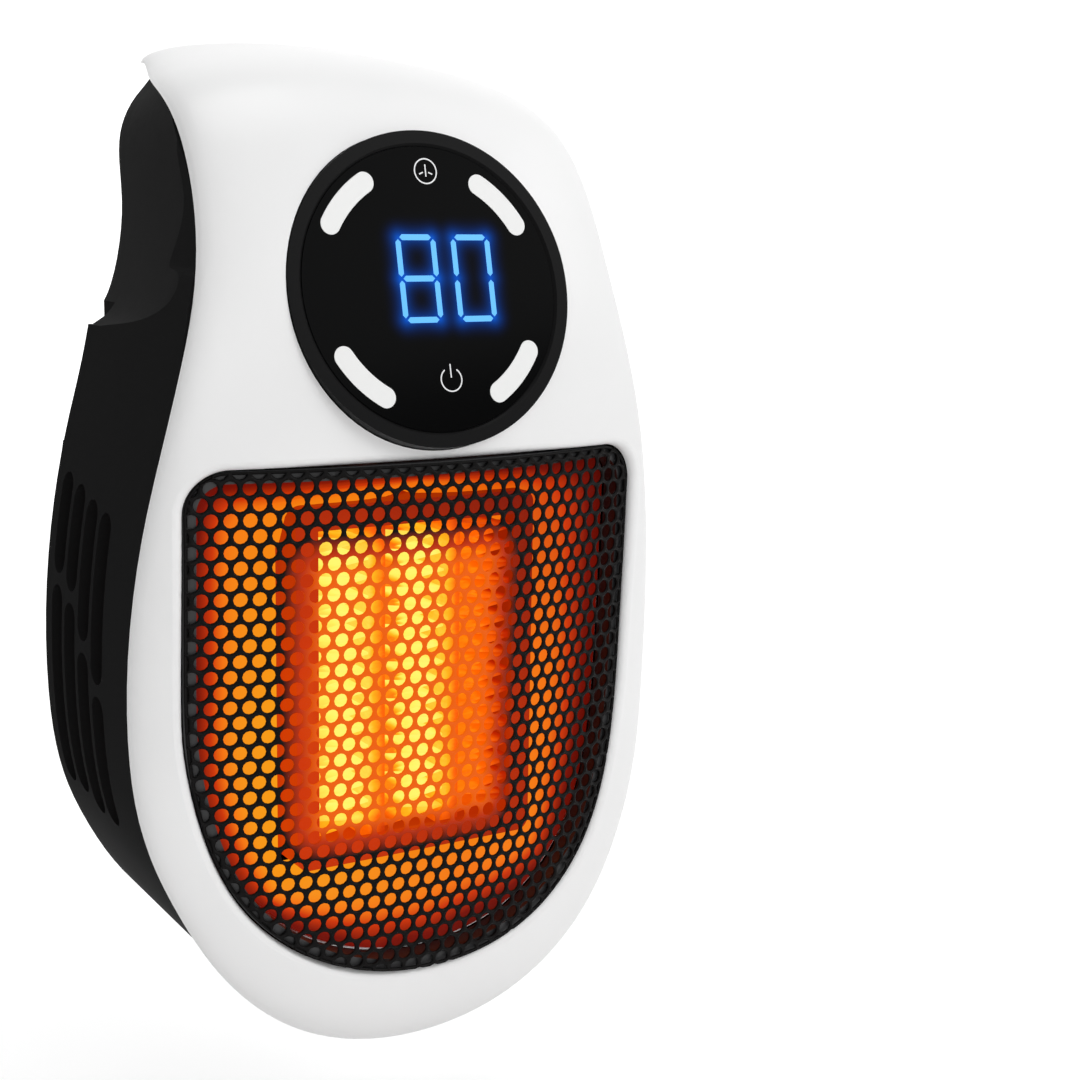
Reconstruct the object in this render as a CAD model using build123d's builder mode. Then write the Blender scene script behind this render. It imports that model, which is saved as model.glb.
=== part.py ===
# Plug-in fan heater: a crowned white cover on a black housing, hung from a swivelling two-blade plug.
# The origin is the centre of the plug's face, where it meets the wall. +Y points into the wall,
# -Y is the front of the heater, +X is right as seen from the front, and +Z is up.
# Sizes are in millimetres. A name that ends in share holds a part of the size that it follows.

import os
from math import cos, radians, sin, sqrt

from build123d import *

os.makedirs("parts", exist_ok=True)

# Body
body_height = 171.5
body_half_width = 49.8
body_depth = 63
top_rise = 28
cover_wall = 2.4
opening_edge = 1.4
housing_wall = 2.2
parting_gap = 0.3
step_depth = 9.5
step_drop = 36
step_radius = 8.5
bottom_rise = 6
overrun = 6
edge_match = 0.05
half_turn = 180
quarter_turn = 90

# Plug
plug_radius = 21
plug_thickness = 12
plug_edge = 1
plug_gap = 0.5
hub_radius = 9
swivel_clearance = 0.1
seat_clearance = 0.3
blade_spread = 12.7
blade_thickness = 1.5
blade_length = 17.5
blade_tip = 2.5
live_blade_height = 6.35
neutral_blade_height = 7.94
blade_clearance = 0.1
blade_tail = 1.6
blade_bevel = 1
retainer_radius = 14
retainer_thickness = 2
retainer_screw_spread = 11
ring_radii = (10, 12.2)
ring_width = 1.4
ring_thickness = 0.8
brush_radius = 0.9
brush_gap = 0.3
carrier_radius = 15
carrier_bore = 9.5
carrier_thickness = 1.6
carrier_drop = 5.3
carrier_post_spread = 36.4
carrier_ear_width = 6
carrier_ear_reach = 3

# Places on the body that follow from these
y_rear = -(plug_thickness + plug_gap)
y_front = y_rear - body_depth
y_rear_low = y_rear - step_depth
z_top = top_rise
z_bottom = top_rise - body_height
y_inner = y_rear - housing_wall
y_inner_low = y_rear_low - housing_wall

# Each station of the cover gives the crown line and the parting line in the side view, as shares
# of the body's height above its lowest point and of its depth in front of the rear plane, and the
# half-width as a share of the widest.
cover_station_shares = [
    (0.002, 0.835, 0.009, 0.820, 0.120),
    (0.000, 0.870, 0.032, 0.835, 0.335),
    (0.013, 0.925, 0.074, 0.850, 0.575),
    (0.050, 0.962, 0.126, 0.856, 0.750),
    (0.104, 0.970, 0.181, 0.847, 0.865),
    (0.165, 0.959, 0.234, 0.830, 0.942),
    (0.292, 0.938, 0.336, 0.814, 0.996),
    (0.464, 0.966, 0.472, 0.834, 0.981),
    (0.556, 0.989, 0.545, 0.855, 0.945),
    (0.643, 1.000, 0.617, 0.875, 0.890),
    (0.717, 0.986, 0.682, 0.878, 0.831),
    (0.809, 0.938, 0.765, 0.849, 0.762),
    (0.904, 0.805, 0.856, 0.748, 0.727),
    (0.939, 0.695, 0.894, 0.657, 0.715),
    (0.976, 0.422, 0.936, 0.414, 0.667),
    (0.996, 0.113, 0.962, 0.129, 0.566),
    (1.000, -0.056, 0.972, -0.033, 0.520),
]
shell_station = 2
upright_station = 13

# The upper block narrows towards the wall on two slanted facets.
facet_half_width = 28.85
facet_back_share = 0.2
facet_up_share = 0.2125
facet_turn = 55
facet_drop = 36
facet_radius = 18

# The left side is scooped out: the scoop's line at the rear plane from the top down, as shares of
# the widest half-width and of the body's height. Below it the block is narrower than the body.
scoop_line_shares = [
    (0.360, 1.035),
    (0.492, 0.959),
    (0.558, 0.936),
    (0.610, 0.902),
    (0.616, 0.872),
    (0.610, 0.834),
    (0.622, 0.792),
    (0.655, 0.751),
    (0.687, 0.730),
    (0.722, 0.718),
    (0.770, 0.709),
]
scoop_back_share = 0.13
block_side_station = 8

# Finger recess on the right side
recess_radius = 8.4
recess_length = 22
recess_depth = 2.8
recess_drop = 3.1

# Air slots: one row of an upper slot and a lower slot for each column, from the rear forwards.
slot_width = 5.6
slot_pitch = 7
slot_inset = 6.3
slot_bridge = 2
right_slot_shares = [(0.581, 0.441, 0.299), (0.564, 0.418, 0.277), (0.540, 0.392, 0.260)]
left_slot_shares = [
    (0.565, 0.457, 0.244),
    (0.558, 0.446, 0.244),
    (0.549, 0.405, 0.234),
    (0.542, 0.371, 0.234),
]

# Grille opening, measured from its lower tip
opening_side = 7.9
grille_half_width = body_half_width - opening_side
grille_height = 87.3
grille_foot = 14.6
grille_corner = 7
grille_side_shares = [(0.52, 0.06), (0.825, 0.20), (0.985, 0.45)]
grille_shoulder_share = 0.68
grille_clearance = 0.3
grille_sheet = 0.9
grille_sag = 8
grille_rim_width = 2
grille_rim_depth = 4
hole_radius = 2.2
hole_pitch = 5.6
hole_margin = 1.6
# The grille's centre line in the side view: height as a share of the body's, depth as a share.
grille_line_shares = [(0.06, 0.968), (0.15, 0.995), (0.30, 0.995), (0.48, 1.012), (0.62, 1.008)]

# Display disc on the cover
disc_radius = 25.5
disc_ring = 2.5
disc_drop = 14.5
disc_lean = 13
disc_forward_share = 0.949
disc_clearance = 0.15
disc_depth = 9
disc_collar = 2.2
collar_start = 4.2
lens_inset = 0.3
lens_thickness = 1.8
ledge_width = 2
board_depth = 7
board_thickness = 1.6
bar_inner_radius = 18.2
bar_outer_radius = 21.6
bar_sweep = 27
bar_clearance = 0.05
digit_height = 14.2
digit_width = 8
digit_stroke = 1.1
digit_pitch = 9.8
digit_notch = 0.35
digit_shift = 2.6
digit_rise = 1.7
segment_thickness = 0.6
module_margin = 2
pad_radius = 2.6
pad_offset = 17.4
buzzer_radius = 4.5
buzzer_height = 5

# Fasteners of the case
post_radius = 3.7
post_sink = 0.3
screw_radius = 1.5
screw_play = 0.15
screw_head_radius = 2.5
screw_head_height = 1.8
screw_length = 12
screw_seat = 4
counterbore_radius = 2.65
upper_post_side = 25.8
upper_post_half_spread = body_half_width - upper_post_side
upper_post_rise = 10
upper_post_depth = 32.5
lower_post_side = 13.4
lower_post_half_spread = body_half_width - lower_post_side
lower_post_height = 30
lower_post_depth = 33

# Heater core behind the grille
core_width = 40
core_height = 56
core_depth = 12
core_rise = 64
core_back = 55.5
core_tube = 3
core_tubes = 2
core_gap = 0.1
fin_pitch = 3.2
fin_sheet = 0.35
frame_wall = 2.4
frame_corner = 2.2
frame_lip = 1.2
frame_lip_cover = 1.5
duct_side = 5.4
duct_width = 2 * (grille_half_width - duct_side)
duct_height = 72
duct_setback = 3
duct_lap = 8
duct_sheet = 0.8
duct_corner = 25
bracket_sheet = 0.9
bracket_height = 50
bracket_lap = 4
bracket_margin = 3.2
bracket_foot_height = 13
electrode_width = 6
electrode_height = 5
electrode_sheet = 0.8
electrode_spread = 20
cutout_width = 12
cutout_height = 5
cutout_depth = 4.6
fuse_radius = 1.6
fuse_length = 11

# Fan behind the heater core
fan_size = 66
fan_depth = 8.5
fan_front = 30
fan_corner = 7
fan_bore = 31.3
fan_post_half_spread = 29
fan_post_radius = 3.2
fan_seat_radius = 13
fan_seat_depth = 2
strut_width = 3
strut_count = 3
strut_lap = 1
impeller_tip = 30.3
impeller_hub = 12.5
impeller_wall = 1.2
impeller_lead = 0.3
impeller_rear_gap = 0.4
vane_count = 7
vane_chord = 7.5
vane_root_lap = 0.4
vane_thickness = 1.2
vane_root_pitch = 40
vane_tip_pitch = 26
fan_screw_length = 14
stator_radius = 10.6
stator_height = 4.6
shaft_radius = 1.5
shaft_play = 0.05

# Main board and what it carries
main_board_width = 54
main_board_height = 43
main_board_top = 5
main_board_front = 27.5
board_post_radius = 2.5
small_screw_radius = 1.2
small_head_radius = 2.2
small_head_height = 1.3
small_screw_length = 6
board_post_shares = [(-0.39, -0.86), (-0.39, -0.10), (0.39, -0.10), (0.17, -0.90)]
relay_size = (19, 12, 15)
relay_place_share = (-0.29, -0.58)
film_size = (15, 11, 6)
film_place_share = (-0.29, -0.27)
choke_size = (13, 11, 11)
choke_place_share = (0.03, -0.62)
can_radius = 4
can_height = 10
can_place_shares = [(-0.06, -0.24), (0.10, -0.24)]
block_size = (17, 8, 6)
block_place_share = (0.335, -0.30)
board_fuse_radius = 2.6
board_fuse_length = 18
board_fuse_place_share = (-0.12, -0.94)
chip_size = (10, 1.5, 10)
chip_place_share = (-0.15, -0.45)
header_size = (14, 6, 4)
header_place_share = (0.10, -0.12)
tilt_radius = 4.5
tilt_height = 9
tilt_place_share = (0.30, -0.70)
part_edge = 0.6

# Rocker switch on the right facet
switch_back = 14.3
switch_drop = 24.5
flange_radius = 10.1
flange_thickness = 2
well_radius = 7.2
well_depth = 8.5
barrel_radius = 8.6
barrel_length = 15
barrel_clearance = 0.2
rocker_width = 10
rocker_length = 12.4
rocker_corner = 3.6
rocker_thickness = 5
rocker_proud = 0.6
rocker_tilt = 8
rocker_edge = 0.7
rocker_pin_radius = 1
rocker_pin_play = 0.08
rocker_pin_depth = 3.4
terminal_width = 4.8
terminal_thickness = 0.8
terminal_length = 7
terminal_pitch = 5

board_y = y_rear - main_board_front
fan_centre = z_bottom + core_rise
core_front = y_rear - core_back
retainer_y = y_inner - seat_clearance
carrier_y = y_inner - carrier_drop


def side_point(height_share, depth_share):
    """A point of the side view as its Y and Z."""
    return (y_rear - depth_share * body_depth, z_bottom + height_share * body_height)


def drawn_in(points, ends, inset):
    """The points of a smooth line, moved square to it by inset towards the left of its course."""
    line = Spline(*points, tangents=ends)
    moved = []
    for point in points:
        course = line.tangent_at(line.param_at_point(Vector(*point)))
        moved.append((point[0] - inset * course.Y, point[1] + inset * course.X))
    return moved


def crown_form(inset, first):
    """The cover's half-elliptic crown, from the parting line forwards, drawn in by inset."""
    back = overrun if inset else 0
    with BuildPart() as form:
        for crown_h, crown_d, part_h, part_d, width_share in cover_station_shares[first:]:
            crown = Vector(0, *side_point(crown_h, crown_d))
            part = Vector(0, *side_point(part_h, part_d))
            rise = crown - part
            half = width_share * body_half_width - inset
            deep = rise.length - inset
            across = Plane(origin=part, x_dir=(1, 0, 0), z_dir=Vector(1, 0, 0).cross(rise))
            with BuildSketch(across):
                with BuildLine():
                    EllipticalCenterArc((0, 0), half, deep, arc_size=half_turn)
                    if back:
                        Polyline((-half, 0), (-half, -back), (half, -back), (half, 0))
                    else:
                        Line((-half, 0), (half, 0))
                make_face()
        loft()
        split(bisect_by=Plane((0, y_rear - inset, 0), z_dir=(0, 1, 0)), keep=Keep.BOTTOM)
    return form.part


def facet_form(inset):
    """The wedge that the right facet takes off the upper block."""
    far = body_half_width + overrun
    high = z_top + overrun
    with BuildPart() as form:
        with BuildSketch(Plane.XZ):
            with BuildLine():
                start = (facet_half_width - inset - facet_up_share * high, high)
                turn = (facet_half_width - inset + facet_up_share * facet_drop, -facet_drop)
                Line(start, turn)
                bend = JernArc(turn, (facet_up_share, -1), facet_radius, facet_turn)
                Polyline(bend @ 1, (far, (bend @ 1).Y), (far, high), start)
            make_face()
        extrude(amount=body_depth + plug_thickness, dir=(facet_back_share, -1, 0))
    return form.part


def scoop_form(inset):
    """What the left side loses: the scoop down to its lip, and the block's side below it."""
    far = -body_half_width - overrun
    line = [(-width * body_half_width, z_bottom + height * body_height)
            for width, height in scoop_line_shares]
    ends = (Vector(line[1]) - Vector(line[0]), Vector(line[-1]) - Vector(line[-2]))
    line = drawn_in(line, ends, inset)
    side, lip = line[block_side_station]
    low = -step_drop - overrun
    with BuildPart() as form:
        with BuildSketch(Plane.XZ.offset(-y_rear)):
            with BuildLine():
                Spline(*line, tangents=ends)
                Polyline(line[-1], (far, line[-1][1]), (far, line[0][1]), line[0])
            make_face()
        extrude(amount=body_depth, dir=(-scoop_back_share, -1, 0))
        with BuildSketch(Plane.XZ.offset(-y_rear)):
            with BuildLine():
                Spline(*line, tangents=ends)
                Polyline(line[-1], (far, line[-1][1]), (far, line[0][1]), line[0])
            make_face()
        extrude(amount=-overrun)
        with BuildSketch(Plane.XZ.offset(-y_rear_low + inset)):
            with BuildLine():
                Polyline((side, lip), (side, low), (far, low), (far, lip), close=True)
            make_face()
        extrude(amount=y_rear_low - inset - overrun)
    return form.part


def housing_outline(inset):
    """The housing's outline in the front view, drawn in by inset and open-ended at the top."""
    tip_z = side_point(*cover_station_shares[0][2:4])[1]
    high = z_top + overrun
    sides = [(width * body_half_width, z_bottom + part_h * body_height)
             for crown_h, crown_d, part_h, part_d, width in cover_station_shares[1:upright_station]]
    ends = ((1, 0), (0, 1))
    sides = drawn_in([(0, tip_z), *sides], ends, inset)
    with BuildSketch() as outline:
        with BuildLine():
            Spline(*sides, tangents=ends)
            Polyline(sides[-1], (sides[-1][0], high), (0, high))
            mirror(about=Plane.YZ)
        make_face()
    return outline.sketch


def housing_form(inset):
    """The housing's outer form, or with an inset the hollow inside it, open at the parting line."""
    deep = -y_front + overrun
    high = z_top + overrun
    tip_y, tip_z = side_point(*cover_station_shares[0][2:4])
    outline = housing_outline(inset)
    with BuildPart() as form:
        with BuildSketch(Plane.XZ):
            add(outline)
        extrude(amount=deep)
        if not inset:
            gap = parting_gap
            line = [side_point(part_h, part_d)
                    for crown_h, crown_d, part_h, part_d, width in cover_station_shares]
            line = [(y + gap, z - gap) for y, z in line]
            low = z_bottom - overrun
            with BuildSketch(Plane.YZ):
                with BuildLine():
                    Spline(*line)
                    Polyline(line[-1], (line[-1][0], low), (line[0][0], low), line[0])
                make_face()
            extrude(amount=body_half_width + overrun, both=True, mode=Mode.INTERSECT)
        rear, rear_low = y_rear - inset, y_rear_low - inset
        step, curve = -step_drop + inset, step_radius + inset
        foot = tip_z + bottom_rise + inset
        slope = bottom_rise / (rear_low - tip_y)
        with BuildSketch(Plane.YZ):
            with BuildLine():
                CenterArc((rear_low + curve, step - curve), curve, half_turn, -quarter_turn)
                Polyline((rear_low + curve, step), (rear, step), (rear, high), (-deep, high),
                         (-deep, foot - slope * (rear_low + deep)), (rear_low, foot),
                         (rear_low, step - curve))
            make_face()
        extrude(amount=body_half_width + overrun, both=True, mode=Mode.INTERSECT)
    return form.part


def grille_outline(inset):
    """The grille opening's outline in the front view, drawn in by inset."""
    foot = z_bottom + grille_foot
    sides = [(width * grille_half_width, foot + height * grille_height)
             for width, height in grille_side_shares]
    shoulder = (grille_half_width, foot + grille_shoulder_share * grille_height)
    top = foot + grille_height
    ends = ((1, 0), (0, 1))
    sides = drawn_in([(0, foot), *sides, shoulder], ends, inset)
    corner = (grille_half_width - grille_corner, top - grille_corner)
    radius = grille_corner - inset
    with BuildSketch() as outline:
        with BuildLine():
            Spline(*sides, tangents=ends)
            Line(sides[-1], (corner[0] + radius, corner[1]))
            CenterArc(corner, radius, 0, quarter_turn)
            Line((corner[0], corner[1] + radius), (0, corner[1] + radius))
            mirror(about=Plane.YZ)
        make_face()
    return outline.sketch


def grille_layer(outer, inner):
    """A layer of the bulging grille between two depths behind its face."""
    half = grille_half_width + overrun
    sag = grille_sag * (half / grille_half_width) ** 2
    with BuildPart() as layer:
        for height, depth in grille_line_shares:
            y, z = side_point(height, depth)
            with BuildSketch(Plane((0, y, z), x_dir=(1, 0, 0), z_dir=(0, 0, 1))):
                with BuildLine():
                    ThreePointArc((-half, sag + outer), (0, outer), (half, sag + outer))
                    Line((half, sag + outer), (half, sag + inner))
                    ThreePointArc((half, sag + inner), (0, inner), (-half, sag + inner))
                    Line((-half, sag + inner), (-half, sag + outer))
                make_face()
        loft()
    return layer.part


def posts(places, radius, start, end):
    """Round posts along Y at places in the front view, from one depth to another."""
    with BuildPart() as group:
        with BuildSketch(Plane.XZ.offset(-start)):
            with Locations(*places):
                Circle(radius)
        extrude(amount=start - end)
    return group.part


def screw(radius, length, head_radius, head_height):
    """One pan-head screw along Y, its head's seat at the origin and its tip towards -Y."""
    with BuildPart() as piece:
        with BuildSketch(Plane.XZ):
            Circle(radius)
        extrude(amount=length)
        with BuildSketch(Plane.XZ):
            Circle(head_radius)
        extrude(amount=-head_height)
        fillet(piece.faces().sort_by(Axis.Y)[-1].edges(), radius=head_height * 0.4)
        with BuildSketch(Plane.XZ.offset(-head_height)):
            Rectangle(head_radius, head_radius * 0.25)
            Rectangle(head_radius * 0.25, head_radius)
        extrude(amount=head_height * 0.5, mode=Mode.SUBTRACT)
    return piece.part


def screws(places, seat, kind, turn):
    """A group of like screws, one at each place, seated at one depth and turned about Z."""
    with BuildPart() as group:
        with Locations(*[Location((x, seat, z), (0, 0, turn)) for x, z in places]):
            add(kind)
    return group.part


def keep(part, name):
    """Label a finished piece and write it."""
    part.label = name
    export_step(part, "parts/" + name + ".step")


both = (-1, 1)
upper_posts = [(side * upper_post_half_spread, upper_post_rise) for side in both]
lower_posts = [(side * lower_post_half_spread, z_bottom + lower_post_height) for side in both]
upper_joint = y_rear - upper_post_depth
lower_joint = y_rear_low - lower_post_depth
screw_reach = screw_length - screw_seat + seat_clearance
fan_posts = [(x * fan_post_half_spread, fan_centre + z * fan_post_half_spread)
             for x in both for z in both]
carrier_places = [(0, side * carrier_post_spread / 2) for side in both]
fan_y = y_rear - fan_front
fan_back = fan_y + fan_depth
board_posts = [(x * main_board_width, main_board_top + z * main_board_height)
               for x, z in board_post_shares]

disc_plane = Plane(
    origin=(0, y_rear - disc_forward_share * body_depth, -disc_drop),
    x_dir=(1, 0, 0),
    z_dir=(0, -cos(radians(disc_lean)), sin(radians(disc_lean))),
)


def facet_plane(y, z):
    """The plane of the right facet through its point at y and z, with x towards the wall."""
    x = facet_half_width - facet_back_share * y - facet_up_share * z
    back = Vector(-facet_back_share, 1, 0)
    return Plane(origin=(x, y, z), x_dir=back, z_dir=(1, facet_back_share, facet_up_share))


switch_plane = facet_plane(y_rear - switch_back, -switch_drop)
recess_plane = facet_plane(y_rear - recess_length + recess_radius, -recess_drop)


def recess_form(grow):
    """The finger recess, or with grow the pan of wall that stays round it."""
    reach = recess_length + overrun
    with BuildPart() as form:
        with BuildSketch(recess_plane.offset(overrun)):
            Circle(recess_radius + grow)
            with Locations((reach / 2, 0)):
                Rectangle(reach, 2 * (recess_radius + grow))
        extrude(amount=-(overrun + recess_depth + grow))
    return form.part


def slots(side, table):
    """The air slots of one side: an upper and a lower slot in each column."""
    with BuildPart() as form:
        for column, (top, gap, foot) in enumerate(table):
            y = y_rear_low - slot_inset - column * slot_pitch
            for high, low in ((top, gap), (gap, foot)):
                length = (high - low) * body_height - slot_bridge / 2
                trim = slot_bridge / 4 if high == top else -slot_bridge / 4
                z = z_bottom + (high + low) / 2 * body_height + trim
                with BuildSketch(Plane((side * facet_half_width, y, z), x_dir=(0, 0, 1),
                                       z_dir=(side, 0, 0))):
                    SlotOverall(length, slot_width)
                extrude(amount=body_half_width)
    return form.part


# Rear housing
cover_shape = crown_form(0, 0)
cover_room = cover_shape.moved(Location((0, parting_gap, -parting_gap)))
hollow = housing_form(housing_wall)
pan = recess_form(housing_wall)
inner_facet = facet_form(housing_wall)
inner_scoop = scoop_form(housing_wall)
with BuildPart() as cavity:
    add(hollow)
    add(inner_facet, mode=Mode.SUBTRACT)
    add(inner_scoop, mode=Mode.SUBTRACT)
    add(pan, mode=Mode.SUBTRACT)

housing_body = housing_form(0)
right_facet = facet_form(0)
left_scoop = scoop_form(0)
upper_bosses = posts(upper_posts, post_radius, y_inner, upper_joint)
lower_bosses = posts(lower_posts, post_radius, y_inner_low, lower_joint)
fan_bosses = posts(fan_posts, fan_post_radius, y_inner_low, fan_back)
board_bosses = posts(board_posts, board_post_radius, y_inner, board_y)
carrier_bosses = posts(carrier_places, board_post_radius, y_inner, carrier_y)
recess = recess_form(0)
right_slots = slots(1, right_slot_shares)
left_slots = slots(-1, left_slot_shares)
with BuildPart() as rear_housing:
    add(housing_body)
    add(right_facet, mode=Mode.SUBTRACT)
    add(left_scoop, mode=Mode.SUBTRACT)
    add(cavity.part, mode=Mode.SUBTRACT)
    add(recess, mode=Mode.SUBTRACT)
    add(right_slots, mode=Mode.SUBTRACT)
    add(left_slots, mode=Mode.SUBTRACT)
    add(cover_room, mode=Mode.SUBTRACT)
    add(upper_bosses)
    add(lower_bosses)
    add(fan_bosses)
    add(board_bosses)
    add(carrier_bosses)
    for places, face, radius, depth in (
        (fan_posts, fan_back, screw_radius, fan_screw_length - fan_depth),
        (board_posts, board_y, small_screw_radius, small_screw_length),
        (carrier_places, carrier_y, small_screw_radius, small_screw_length - carrier_thickness),
    ):
        with BuildSketch(Plane.XZ.offset(-face)):
            with Locations(*places):
                Circle(radius + blade_clearance)
        extrude(amount=-depth, mode=Mode.SUBTRACT)
    with BuildSketch(Plane.XZ):
        Circle(hub_radius + swivel_clearance)
    extrude(amount=-y_inner + overrun, mode=Mode.SUBTRACT)
    with BuildSketch(switch_plane.offset(overrun)):
        Circle(barrel_radius + barrel_clearance)
    extrude(amount=-(overrun + barrel_length), mode=Mode.SUBTRACT)
    for places, joint in ((upper_posts, upper_joint), (lower_posts, lower_joint)):
        with BuildSketch(Plane.XZ.offset(-(joint + screw_seat))):
            with Locations(*places):
                Circle(counterbore_radius)
        extrude(amount=joint + screw_seat, mode=Mode.SUBTRACT)
        tip = joint - screw_reach
        with BuildSketch(Plane.XZ.offset(-tip)):
            with Locations(*places):
                Circle(screw_radius + screw_play)
        extrude(amount=tip, mode=Mode.SUBTRACT)
keep(rear_housing.part, "rear_housing")

# Front cover
cover_hollow = crown_form(cover_wall, shell_station)
grille_opening = grille_outline(0)


def cover_front(x, z):
    """How far forward the cover's outer face lies at a place in the front view."""
    hits = cover_shape.find_intersection_points(Axis((x, 0, z), (0, -1, 0)))
    return min(point.Y for point, normal in hits)


def post_front(place):
    """Where a post ends so that all of it stays behind the cover's outer face."""
    x, z = place
    edge = [(x + post_radius * cos(radians(turn)), z + post_radius * sin(radians(turn)))
            for turn in range(0, 2 * half_turn, quarter_turn // 2)]
    return max(cover_front(*point) for point in edge) + post_sink


def on_opening(edge):
    """Whether an edge of the cover runs round the grille opening on the cover's outer face."""
    point = edge.position_at(0.5)
    if grille_opening.wire().distance_to(Vertex(point.X, point.Z, 0)) > edge_match:
        return False
    return abs(cover_front(point.X, point.Z) - point.Y) < edge_match


upper_cover_posts = posts(upper_posts, post_radius, upper_joint, post_front(upper_posts[1]))
lower_round_posts = posts(lower_posts, post_radius, lower_joint, post_front(lower_posts[1]))
within_housing = housing_outline(housing_wall + parting_gap)
with BuildPart() as lower_cover_posts:
    add(lower_round_posts)
    with BuildSketch(Plane.XZ):
        add(within_housing)
    extrude(amount=-y_front, mode=Mode.INTERSECT)
with BuildPart() as front_cover:
    add(cover_shape)
    add(cover_hollow, mode=Mode.SUBTRACT)
    with BuildSketch(disc_plane.offset(-collar_start)):
        Circle(disc_radius + disc_clearance + disc_collar)
    extrude(amount=collar_start - disc_depth)
    add(upper_cover_posts)
    add(lower_cover_posts.part)
    for places, joint in ((upper_posts, upper_joint), (lower_posts, lower_joint)):
        with BuildSketch(Plane.XZ.offset(-joint)):
            with Locations(*places):
                Circle(screw_radius + blade_clearance)
        extrude(amount=screw_reach, mode=Mode.SUBTRACT)
    with BuildSketch(disc_plane.offset(disc_radius)):
        Circle(disc_radius + disc_clearance)
    extrude(amount=-(2 * disc_radius), mode=Mode.SUBTRACT)
    with BuildSketch(Plane.XZ):
        add(grille_opening)
    extrude(amount=-y_front + overrun, mode=Mode.SUBTRACT)
    fillet(front_cover.edges().filter_by(on_opening), radius=opening_edge)
keep(front_cover.part, "front_cover")

case_screw = screw(screw_radius, screw_length, screw_head_radius, screw_head_height)
upper_screws = screws(upper_posts, upper_joint + screw_seat, case_screw, 0)
lower_screws = screws(lower_posts, lower_joint + screw_seat, case_screw, 0)
with BuildPart() as case_screws:
    add(upper_screws)
    add(lower_screws)
keep(case_screws.part, "case_screws")

# Front grille: a bulging steel sheet with staggered round holes
field = grille_outline(grille_clearance + hole_margin + hole_radius).face()
hole_row = hole_pitch * sqrt(3) / 2
hole_rows = int(grille_height / hole_row) + 1
hole_columns = int(grille_half_width / hole_pitch) + 1
hole_places = []
for row in range(hole_rows):
    stagger = hole_pitch / 2 * (row % 2)
    for column in range(-hole_columns, hole_columns + 1):
        place = (column * hole_pitch + stagger, z_bottom + grille_foot + row * hole_row)
        if field.is_inside(Vector(*place)):
            hole_places.append(place)
print("grille holes", len(hole_places))
sheet = grille_layer(0, grille_sheet)
backing = grille_layer(grille_sheet, grille_sheet + grille_rim_depth)
grille_edge = grille_outline(grille_clearance)
rim_edge = grille_outline(grille_clearance + grille_rim_width)
with BuildPart() as front_grille:
    add(sheet)
    with BuildSketch(Plane.XZ):
        add(grille_edge)
    extrude(amount=-y_front + 2 * overrun, mode=Mode.INTERSECT)
    with BuildSketch(Plane.XZ):
        with Locations(*hole_places):
            Circle(hole_radius)
    extrude(amount=-y_front + 2 * overrun, mode=Mode.SUBTRACT)
keep(front_grille.part, "front_grille")

# Rim that backs the grille inside the opening
with BuildPart() as grille_rim:
    add(backing)
    with BuildSketch(Plane.XZ):
        add(grille_edge)
        add(rim_edge, mode=Mode.SUBTRACT)
    extrude(amount=-y_front + 2 * overrun, mode=Mode.INTERSECT)
keep(grille_rim.part, "grille_rim")

# Display disc
lens_radius = disc_radius - disc_ring
ledge_start = lens_inset + lens_thickness
with BuildPart() as display_bezel:
    with BuildSketch(disc_plane):
        Circle(disc_radius)
        Circle(lens_radius, mode=Mode.SUBTRACT)
    extrude(amount=-disc_depth)
    with BuildSketch(disc_plane.offset(-ledge_start)):
        Circle(lens_radius)
        Circle(lens_radius - ledge_width, mode=Mode.SUBTRACT)
    extrude(amount=ledge_start - board_depth)
    chamfer(display_bezel.edges().filter_by(GeomType.CIRCLE).sort_by(Axis(disc_plane.origin,
            disc_plane.z_dir))[-1], length=disc_clearance * 3)
keep(display_bezel.part, "display_bezel")


def bar_outlines(grow):
    """The four arc-shaped light bars in the plane of the disc, grown by a clearance."""
    middle = (bar_inner_radius + bar_outer_radius) / 2
    width = bar_outer_radius - bar_inner_radius + 2 * grow
    with BuildSketch() as outlines:
        for quarter in range(4):
            start = quarter * quarter_turn + (quarter_turn - bar_sweep) / 2
            with BuildLine(mode=Mode.PRIVATE):
                course = CenterArc((0, 0), middle, start, bar_sweep)
            SlotArc(course, width)
    return outlines.sketch


bar_shapes = bar_outlines(0)
bar_openings = bar_outlines(bar_clearance)
with BuildPart() as display_lens:
    with BuildSketch(disc_plane.offset(-lens_inset)):
        Circle(lens_radius - bar_clearance)
        add(bar_openings, mode=Mode.SUBTRACT)
    extrude(amount=-lens_thickness)
keep(display_lens.part, "display_lens")

with BuildPart() as light_bars:
    with BuildSketch(disc_plane.offset(-lens_inset)):
        add(bar_shapes)
    extrude(amount=-lens_thickness)
keep(light_bars.part, "light_bars")


def segment_points(length, upright):
    """The six corners of one display segment, along the digit if it is upright."""
    half, stroke = length / 2, digit_stroke / 2
    line = [(half, 0), (half - stroke, stroke), (stroke - half, stroke),
            (-half, 0), (stroke - half, -stroke), (half - stroke, -stroke)]
    return [(y, x) for x, y in line] if upright else line


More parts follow.
